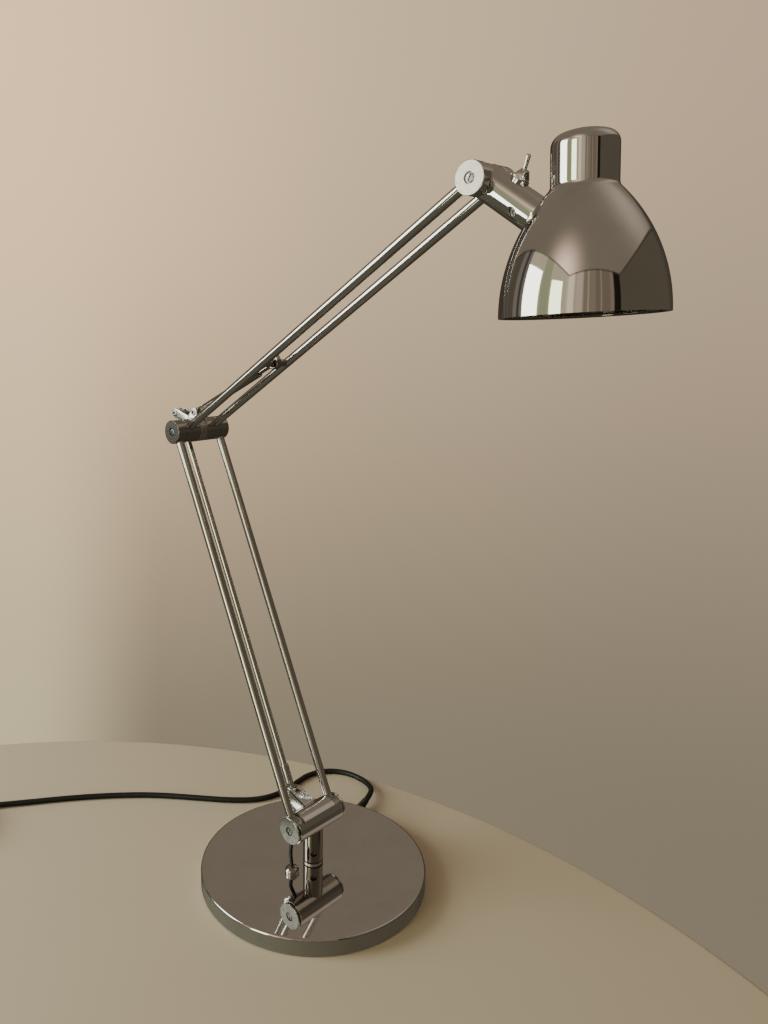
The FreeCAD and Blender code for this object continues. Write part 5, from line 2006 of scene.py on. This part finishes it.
@dataclass
class Head:
    """Stem, toggle switch, shade and bulb."""

    stem_radius: float = 11.4
    stem_length: float = 60.0
    tongue_half: float = 9.7
    tongue_radius: float = 10.5
    mouth_radius: float = 11.2
    mouth_reach: float = 30.0
    shade_gap: float = 0.4
    screw_along: float = 34.0
    screw_radius: float = 2.1
    screw_drop: float = 20.0
    hole_gap: float = 0.75
    screw_sunk: float = 1.1
    screw_length: float = 3.6
    switch_along: float = 21.5
    switch_root: float = 2.2
    flange_radius: float = 6.1
    flange: float = 1.2
    nut_radius: float = 6.0
    nut: float = 2.4
    dome: float = 3.0
    lever_lean: float = 17.0
    lever_reach: float = 12.2
    lever_foot: float = 1.3
    lever_tip: float = 1.55
    rim_radius: float = 49.1
    bell_arc: float = 104.0
    neck_radius: float = 19.4
    neck_top: float = 95.5
    neck_fillet: float = 5.0
    crown_edge: float = 7.5
    crown_turn: float = 72.0
    wall: float = 1.0
    bead: float = 1.1
    # Height of the band inside the rim that is painted in shade
    bare_rim: float = 10.0
    holder_radius: float = 13.5
    holder_foot: float = 66.0
    holder_top: float = 97.0
    holder_bore: float = 6.95
    bore_top: float = 84.0
    holder_ribs: int = 4
    rib_pitch: float = 2.6
    nipple_radius: float = 4.0
    nipple_top: float = 103.4
    bulb_radius: float = 20.0
    bulb_centre: float = 37.0
    bulb_neck: float = 6.4
    bulb_cap: float = 60.0
    body: str = "head"

    def build(self) -> list[Piece]:
        """Make the head's pieces.

        Returns:
            The pieces.
        """
        pieces = [self.stem(), self.stem_screw(), self.switch(), self.lever(), self.shade(), self.holder(),
                  self.bulb()]
        pieces += carry_over(PIN_STEEL, "stem_nipple", "nipple_nut")
        return pieces + carry_over(BRASS, "bulb_cap")

    def bell_side(self, profile: Profile, inset: float) -> Profile:
        """Add the bell, the soft fillet above it and the neck to a profile that stands on the rim.

        Args:
            profile: Profile that ends at the rim.
            inset: Distance from the outer face.

        Returns:
            The same profile.
        """
        centre = self.rim_radius - self.bell_arc
        across = self.neck_radius + self.neck_fillet - centre
        rise = math.sqrt((self.bell_arc + self.neck_fillet) ** 2 - across ** 2)
        turn = math.degrees(math.atan2(rise, across))
        profile.arc(centre, 0.0, turn, 96).arc(self.neck_radius + self.neck_fillet, rise, -turn, 20)
        return profile.to(self.neck_radius - inset, self.neck_top)

    def shade_side(self, inset: float) -> Profile:
        """Profile from the rim up over the crown to the axis, set in from the outer face.

        Args:
            inset: Distance from the outer face.

        Returns:
            The open profile.
        """
        turn = math.radians(self.crown_turn)
        edge_centre = self.neck_radius - self.crown_edge
        crown = (edge_centre + self.crown_edge * math.cos(turn)) / math.cos(turn)
        crown_centre = self.neck_top + (self.crown_edge - crown) * math.sin(turn)
        profile = self.bell_side(Profile(self.rim_radius - inset, 0.0), inset)
        profile.arc(edge_centre, self.neck_top, self.crown_turn, 24)
        return profile.arc(0.0, crown_centre, 90.0 - self.crown_turn, 16)

    def shade(self) -> Piece:
        """Make the spun shade: bell, neck and crown in one wall, with a rolled rim.

        Returns:
            The piece.
        """
        form = Form()
        for inset in (0.0, self.wall):
            form.turn(self.shade_side(inset), LAYOUT.rim, LAYOUT.shade_way, 240, 0.4)
        inside = LAYOUT.rim + LAYOUT.shade_way * 1.0
        rings = [edge for edge in form.bm.edges if edge.is_boundary]
        bmesh.ops.bridge_loops(form.bm, edges=rings)
        bmesh.ops.remove_doubles(form.bm, verts=form.bm.verts, dist=SEAM_MERGE)
        bmesh.ops.recalc_face_normals(form.bm, faces=form.bm.faces)
        # Lacquer starts above a band at the rim; that band inside takes the deep-shade chrome, painted shade
        form.paint(1, lambda item: self.faces_in(item, inside, self.bare_rim))
        form.paint(2, lambda item: item.material_index == 0 and self.faces_in(item, inside, -5.0))
        place = self.rim_radius - self.wall - self.bead * 0.6
        bead = Profile(place + self.bead, self.bead).arc(place, self.bead, 345.0, 23).close()
        # The rolled bead is in the deep-shade chrome: painted shade
        form.join(Form().turn(bead, LAYOUT.rim, LAYOUT.shade_way, 192).paint(2, lambda item: True))
        return form.settle("shade", (CHROME, LACQUER, DEEP_SHADE_CHROME), self.body, "chrome", "shade_bell")

    def faces_in(self, item: bmesh.types.BMFace, inside: Vector, margin: float) -> bool:
        """Whether a face of the shade looks at its axis from within.

        Args:
            item: Face of the shade.
            inside: Point on the axis near the rim.
            margin: Height above that point from which faces count.

        Returns:
            Whether it does.
        """
        middle = item.calc_center_median()
        along = (middle - inside).dot(LAYOUT.shade_way)
        axis = inside + LAYOUT.shade_way * along
        outwards = middle - axis
        if along > self.neck_top:
            return item.normal.dot(LAYOUT.shade_way) < -0.05
        return item.normal.dot(outwards) < 0.0 and along > margin

    def bell_core(self, inset: float) -> Form:
        """Solid form of the bell and neck, for trimming the stem."""
        profile = self.bell_side(Profile(0.0, 0.0).to(self.rim_radius - inset, 0.0), inset)
        return Form().turn(profile.to(0.0, self.neck_top), LAYOUT.rim, LAYOUT.shade_way, 160)

    def stem(self) -> Piece:
        """Make the stem tube with its mouths for the knuckles, its tongue and its screw hole.

        Returns:
            The piece.
        """
        start = LAYOUT.head
        profile = Profile(0.0, 0.0)
        for step in range(13):
            profile.to(self.stem_radius, self.stem_length * step / 12.0)
        form = Form().turn(profile.to(0.0, self.stem_length), start, LAYOUT.stem_way, 144)
        for side in Side:
            inner, outer = side.at(start, self.tongue_half), side.at(start, self.mouth_reach)
            form.cut(Form().bar(inner, outer, self.mouth_radius, 0.0, 96))
        way = self.screw_way()
        foot = start + LAYOUT.stem_way * self.screw_along
        form.cut(Form().bar(foot + way * 7.0, foot + way * 16.0, self.screw_radius + self.hole_gap, 0.0, 40))
        form.cut(self.bell_core(-self.shade_gap))
        soften(form.bm, 0.22, math.radians(40.0))
        form.bar(Side.NEAR.at(start, self.tongue_half - 0.05), Side.FAR.at(start, self.tongue_half - 0.05),
                 self.tongue_radius, 0.3, 96)
        return form.settle("head_tube", CHROME, self.body, "chrome", "head_stem")

    def screw_way(self) -> Vector:
        """Direction of the stem's screw, outwards."""
        drop = math.radians(self.screw_drop)
        return -ACROSS * math.cos(drop) - LAYOUT.stem_top_way * math.sin(drop)

    def stem_screw(self) -> Piece:
        """Make the grub screw in the side of the stem.

        Returns:
            The piece.
        """
        way = self.screw_way()
        face = LAYOUT.head + LAYOUT.stem_way * self.screw_along + way * (self.stem_radius - self.screw_sunk)
        form = socket_screw(face, -way, self.screw_radius, self.screw_length)
        return form.settle("stem_grub_screw", PIN_STEEL, self.body, "screw_steel", "stem_screw")

    def switch_place(self, up: float) -> Vector:
        """Point on the switch's axis above the stem."""
        foot = LAYOUT.head + LAYOUT.stem_way * self.switch_along
        return foot + LAYOUT.stem_top_way * (self.stem_radius + up)

    def switch(self) -> Piece:
        """Make the switch's key washer, faceted nut and collar.

        Returns:
            The piece.
        """
        way = LAYOUT.stem_top_way
        top = self.switch_root + self.flange
        washer = Profile(0.0, 0.0).to(self.flange_radius, 0.0).to(self.flange_radius, top, 0.3).to(0.0, top)
        form = Form().turn(washer, self.switch_place(-self.switch_root), way, 64)
        nut_foot = stand(self.switch_place(self.flange + 0.12), way)
        form.prism(6, self.nut_radius, self.nut_radius * 0.97, 1.3, nut_foot, 0.25)
        form.prism(6, self.nut_radius * 0.95, self.nut_radius * 0.52, self.nut + self.dome - 1.5,
                   nut_foot @ Matrix.Translation((0.0, 0.0, 1.2)), 0.5)
        collar = Profile(1.9, 0.0).to(2.9, 0.0).to(2.7, 0.9, 0.2).to(1.9, 0.9, 0.1).close()
        form.turn(collar, self.switch_place(self.flange + self.nut + self.dome - 0.7), way, 48)
        tab = bmesh.new()
        bmesh.ops.create_cube(tab, size=1.0, matrix=Matrix.Diagonal((1.5, 2.6, 0.8, 1.0)))
        soften(tab, 0.15, CREASE)
        place = self.switch_place(0.5) - LAYOUT.stem_way * (self.flange_radius + 0.4)
        form.take(tab, stand(place, way))
        return form.settle("switch_bezel", CHROME, self.body, "chrome", "switch_nut")

    def lever(self) -> Piece:
        """Make the bat lever of the switch.

        Returns:
            The piece.
        """
        pivot = self.switch_place(self.flange + self.nut)
        way = heading(90.0 - LAYOUT.stem_fall + self.lever_lean)
        profile = Profile(0.0, -1.4).to(1.6, -1.0, 0.5).to(1.7, 1.2, 0.6).to(self.lever_foot, 2.6, 0.4)
        profile.to(self.lever_tip, self.lever_reach, 1.2).to(0.0, self.lever_reach)
        form = Form().turn(profile, pivot, way, 40)
        return form.settle("switch_bat", CHROME, "lever", "chrome", "switch_lever")

    def holder(self) -> Piece:
        """Make the ribbed lampholder inside the neck.

        Returns:
            The piece.
        """
        low, high, radius = self.holder_foot, self.holder_top, self.holder_radius
        groove, bore = radius - 0.8, self.holder_bore
        profile = Profile(0.0, self.bore_top).to(bore, self.bore_top).to(bore, low + 1.0).to(7.6, low, 0.3)
        profile.to(radius - 1.5, low, 0.8).to(radius, low + 3.0, 0.8).to(radius, low + 9.0, 0.4)
        for rib in range(self.holder_ribs):
            at = low + 9.6 + rib * self.rib_pitch
            profile.to(groove, at, 0.2).to(groove, at + 1.0, 0.2)
            profile.to(radius, at + 1.4, 0.2).to(radius, at + 2.2, 0.2)
        profile.to(radius, high, 2.0).to(self.nipple_radius, high)
        profile.to(self.nipple_radius, self.nipple_top).to(0.0, self.nipple_top)
        form = Form().turn(profile, LAYOUT.rim, LAYOUT.shade_way, 80)
        return form.settle("bulb_holder", HOLDER_PLASTIC, self.body, "holder", "lampholder")

    def bulb(self) -> Piece:
        """Make the round frosted bulb.

        Returns:
            The piece.
        """
        neck_start = self.bulb_cap - 9.0
        lean = math.degrees(math.asin((neck_start - self.bulb_centre) / self.bulb_radius))
        profile = Profile(0.0, self.bulb_centre - self.bulb_radius)
        profile.arc(0.0, self.bulb_centre, 90.0 + lean, 40)
        profile.to(self.bulb_neck + 1.2, self.bulb_cap - 3.0, 2.0).to(self.bulb_neck, self.bulb_cap + 0.5)
        profile.to(0.0, self.bulb_cap + 0.5)
        form = Form().turn(profile, LAYOUT.rim, LAYOUT.shade_way, 96)
        return form.settle("bulb", OPAL, self.body, "bulb", "bulb_glass")


# Studio


@dataclass(frozen=True)
class Window:
    """Soft rectangular light: turn from -Y towards +X and rise in degrees, metres and watts."""

    name: str
    turn: float
    rise: float
    reach: float
    size: tuple[float, float]
    power: float
    tint: Colour
    mirrored: bool = True


COOL = (0.95, 1.0, 0.95)
GREENISH = (0.86, 1.0, 0.62)


@dataclass
class Studio:
    """Camera, pale floor, soft window lights and the room's tone.

    The camera and the aim of the lights are in metres, and the floor is in millimetres.
    """

    camera_at: Point = (0.46509, -0.47784, 0.48682)
    camera_way: Point = (-0.6981, 0.6860, -0.2049)
    lens: float = 29.326
    shift: tuple[float, float] = (0.0856, -0.0135)
    floor_centre: tuple[float, float] = (105.8, -464.1)
    floor_radius: float = 650.1
    floor_thickness: float = 24.0
    aim: Point = (0.20, 0.0, 0.54)
    dark_room: Colour = (0.105, 0.088, 0.064)
    ceiling: Colour = (0.21, 0.175, 0.135)
    cornice: Colour = (0.05, 0.042, 0.032)
    low_room: Colour = (0.075, 0.065, 0.050)
    low_lit: Colour = (0.115, 0.108, 0.080)
    wall_tops: tuple[tuple[float, float], ...] = ((-37.5, 0.704), (41.0, 0.622), (119.5, 0.69))
    cornice_drop: float = 0.022
    shaded_wall: Colour = (0.060, 0.051, 0.039)
    backdrop: tuple[Colour, Colour] = ((0.30, 0.25, 0.175), (0.80, 0.62, 0.41))
    walls: tuple[tuple[float, float, float, Colour], ...] = (
        (-118.0, -95.0, 5.0, (0.13, 0.11, 0.085)), (-80.0, -62.0, 2.0, (0.20, 0.18, 0.155)),
        (-62.0, 5.0, 1.0, (0.58, 0.50, 0.36)), (-72.0, -67.0, 1.0, (0.07, 0.06, 0.05)),
        (-33.0, -20.0, 1.0, (0.36, 0.38, 0.23)), (5.0, 15.0, 2.0, (0.95, 0.80, 0.62)),
        (15.0, 27.0, 3.0, (0.55, 0.46, 0.35)), (27.0, 44.0, 3.0, (0.25, 0.20, 0.145)),
        (32.0, 34.0, 0.7, (0.40, 0.33, 0.25)), (44.0, 68.0, 1.0, (0.19, 0.15, 0.11)),
        (49.0, 51.0, 0.7, (0.30, 0.25, 0.18)), (62.0, 67.0, 1.0, (0.24, 0.19, 0.14)),
        (67.0, 76.0, 0.8, (0.015, 0.012, 0.008)))
    lit_ceiling: tuple[tuple[float, float, float, Colour], ...] = (
        (-3.0, 29.0, 24.0, (1.45, 1.09, 0.85)), (150.0, 48.0, 12.0, (0.45, 0.38, 0.30)))
    rear_across: Point = (0.701, 0.713, 0.0)
    rear_ahead: Point = (-0.713, 0.701, 0.0)
    rear_high: tuple[Colour, Colour, Colour] = ((1.33, 0.92, 0.54), (0.80, 0.60, 0.37), (0.62, 0.46, 0.31))
    rear_low: tuple[Colour, Colour, Colour] = ((0.68, 0.58, 0.35), (0.26, 0.22, 0.15), (0.24, 0.20, 0.14))
    tone_rise: tuple[float, float] = (-0.55, 0.29)
    ceiling_rise: tuple[float, float] = (0.34, 0.50)
    edge_soft: float = 0.009
    windows: tuple[Window, ...] = (
        Window("main_window", -47.0, 8.0, 1.6, (0.72, 0.965), 9.7, COOL),
        Window("main_fill", -47.0, -7.0, 1.6, (0.72, 1.80), 20.3, COOL, False),
        Window("side_window", -9.0, -2.9, 1.8, (0.50, 1.60), 8.7, GREENISH),
        Window("side_fill", -9.0, 5.0, 1.8, (0.50, 1.10), 1.3, GREENISH, False))

    def build(self) -> None:
        """Make the camera, the floor, the lights and the world."""
        self.camera()
        self.floor()
        for window in self.windows:
            self.hang(window)
        self.world()

    def camera(self) -> None:
        """Stand the camera where the photograph was taken from."""
        data = bpy.data.cameras.new("camera")
        data.lens = self.lens
        data.sensor_fit = "VERTICAL"
        data.sensor_height = 36.0
        data.shift_x, data.shift_y = self.shift
        item = bpy.data.objects.new("camera", data)
        item.location = self.camera_at
        item.rotation_euler = Vector(self.camera_way).to_track_quat("-Z", "Y").to_euler()
        bpy.context.scene.collection.objects.link(item)
        bpy.context.scene.camera = item

    def floor(self) -> None:
        """Lay the pale round floor."""
        profile = Profile(0.0, 0.0).to(self.floor_radius, 0.0, 4.0)
        profile.to(self.floor_radius, -self.floor_thickness, 4.0).to(0.0, -self.floor_thickness)
        form = Form().turn(profile, Vector((*self.floor_centre, 0.0)), UP, 256, 2.0)
        item = form.show("floor", [PALE])
        item.visible_glossy = False

    def hang(self, window: Window) -> None:
        """Hang a window light so that it faces the head.

        Args:
            window: The light.
        """
        way = self.from_way(window.turn, window.rise)
        data = bpy.data.lights.new(window.name, "AREA")
        data.shape = "RECTANGLE"
        data.size, data.size_y = window.size
        data.energy = window.power
        data.color = window.tint
        item = bpy.data.objects.new(window.name, data)
        item.location = Vector(self.aim) + way * window.reach
        item.rotation_euler = (-way).to_track_quat("-Z", "Y").to_euler()
        item.visible_camera = False
        item.visible_glossy = window.mirrored
        bpy.context.scene.collection.objects.link(item)

    def world(self) -> None:
        """Give the room its tone: plain for the camera, a warm rear wall, and a dark room in mirrors."""
        world = bpy.data.worlds.new("room")
        world.use_nodes = True
        bpy.context.scene.world = world
        shader = Shader(world.node_tree)
        way = shader.node("ShaderNodeTexCoord", {}, {}, "Generated")
        x, y, height = (shader.node("ShaderNodeSeparateXYZ", {}, {"Vector": way}, axis) for axis in "XYZ")
        turn = math.degrees(1.0) * x.maths("ARCTAN2", x, -1.0 * y)
        lit = shader.band(turn, -130.0, -90.0) * (1.0 - shader.band(turn, -10.0, 100.0))
        low = shader.mix(self.low_room, self.low_lit, lit)
        room = shader.mix(low, self.side_walls(shader, turn), shader.band(height, -0.16, 0.0))
        room = shader.mix(room, self.cornice, 0.7 * self.above_walls(shader, way, height, -self.cornice_drop))
        overhead: Any = self.ceiling
        for spot_turn, rise, power, tone in self.lit_ceiling:
            spot = shader.vector("DOT_PRODUCT", way, self.from_way(spot_turn, rise), "Value")
            share = spot.maths("POWER", spot.maths("MAXIMUM", spot, 0.0), power)
            overhead = shader.mix(overhead, tone, share)
        room = shader.mix(room, overhead, self.above_walls(shader, way, height, 0.0))
        share = self.rear_share(shader, way)
        wall = self.rear_wall(shader, way, height)
        shaded = shader.mix(self.shaded_wall, self.ceiling, shader.band(height, *self.ceiling_rise))
        plain = shader.mix(self.backdrop[0], self.backdrop[1], shader.band(height, *self.tone_rise))
        tone = shader.mix(room, wall, share)
        for ray, rest, rear in (("Is Camera Ray", plain, wall), ("Is Glossy Ray", room, shaded)):
            straight = shader.node("ShaderNodeLightPath", {}, {}, ray)
            tone = shader.mix(tone, shader.mix(rest, rear, share), straight)
        set_input(world.node_tree.nodes["Background"].inputs["Color"], tone)

    def above_walls(self, shader: Shader, way: Value, height: Value, shift: float) -> Value:
        """Whether a direction looks over the top of every side wall.

        Args:
            shader: The world's node tree.
            way: Direction.
            height: Its part along +Z.
            shift: How far the line is moved up.

        Returns:
            1 above the walls and 0 below.
        """
        share: Number = 1.0
        for turn, slope in self.wall_tops:
            reach = shader.vector("DOT_PRODUCT", way, self.from_way(turn, 0.0), "Value")
            over = shader.band(height - slope * reach, shift - self.edge_soft, shift + self.edge_soft)
            share = over * share
        return share

    def side_walls(self, shader: Shader, turn: Value) -> Value:
        """Tone of the walls beside and behind the camera, by the turn from -Y towards +X.

        Args:
            shader: The world's node tree.
            turn: Turn of the direction, in degrees.

        Returns:
            The tone.
        """
        room: Any = self.dark_room
        for low, high, soft, tone in self.walls:
            start = shader.band(turn, low - soft, low + soft)
            end = shader.band(turn, high - soft, high + soft)
            room = shader.mix(room, tone, start * (1.0 - end))
        return room

    def rear_share(self, shader: Shader, way: Value) -> Value:
        """Where the wall behind the lamp stands.

        Args:
            shader: The world's node tree.
            way: Direction.

        Returns:
            1 towards that wall and 0 elsewhere.
        """
        level = shader.vector("NORMALIZE", shader.vector("MULTIPLY", way, (1.0, 1.0, 0.0)), (0.0, 0.0, 0.0))
        across = shader.vector("DOT_PRODUCT", level, self.rear_across, "Value")
        ahead = shader.vector("DOT_PRODUCT", level, self.rear_ahead, "Value")
        left, right = shader.band(across, -0.46, -0.38), shader.band(across, 0.66, 0.92)
        return left * (1.0 - right) * shader.band(ahead, 0.0, 0.3)

    def rear_wall(self, shader: Shader, way: Value, height: Value) -> Value:
        """Tone of the warm wall behind the lamp, with the dim ceiling above it.

        Args:
            shader: The world's node tree.
            way: Direction.
            height: Its part along +Z.

        Returns:
            The tone.
        """
        side = shader.vector("DOT_PRODUCT", way, self.rear_across, "Value")
        right = shader.band(side, 0.05, 0.50)
        high = shader.mix(self.rear_high[0], self.rear_high[1], shader.band(side, -0.34, 0.15))
        low = shader.mix(self.rear_low[0], self.rear_low[1], shader.band(side, -0.31, -0.15))
        high = shader.mix(high, self.rear_high[2], right)
        low = shader.mix(low, self.rear_low[2], right)
        wall = shader.mix(low, high, shader.band(height, *self.tone_rise))
        return shader.mix(wall, self.ceiling, shader.band(height, *self.ceiling_rise))

    def from_way(self, turn: float, rise: float) -> Vector:
        """Direction that light comes from, by its turn from -Y towards +X and its rise, in degrees."""
        side, up = math.radians(turn), math.radians(rise)
        return Vector((math.sin(side) * math.cos(up), -math.cos(side) * math.cos(up), math.sin(up)))


def main() -> None:
    """Build the studio and every sub-assembly, and report each piece."""
    logging.basicConfig(level=logging.INFO, format="%(name)s: %(message)s")
    Studio().build()
    assemblies = (Cords(), BaseAssembly(), Shoulder(), Arms(), ParallelLink(), ElbowYoke(), Strut(), Head())
    for assembly in assemblies:
        for piece in assembly.build():
            LOG.info("%s: %s", type(assembly).__name__, piece.name)


if __name__ == "__main__":
    main()
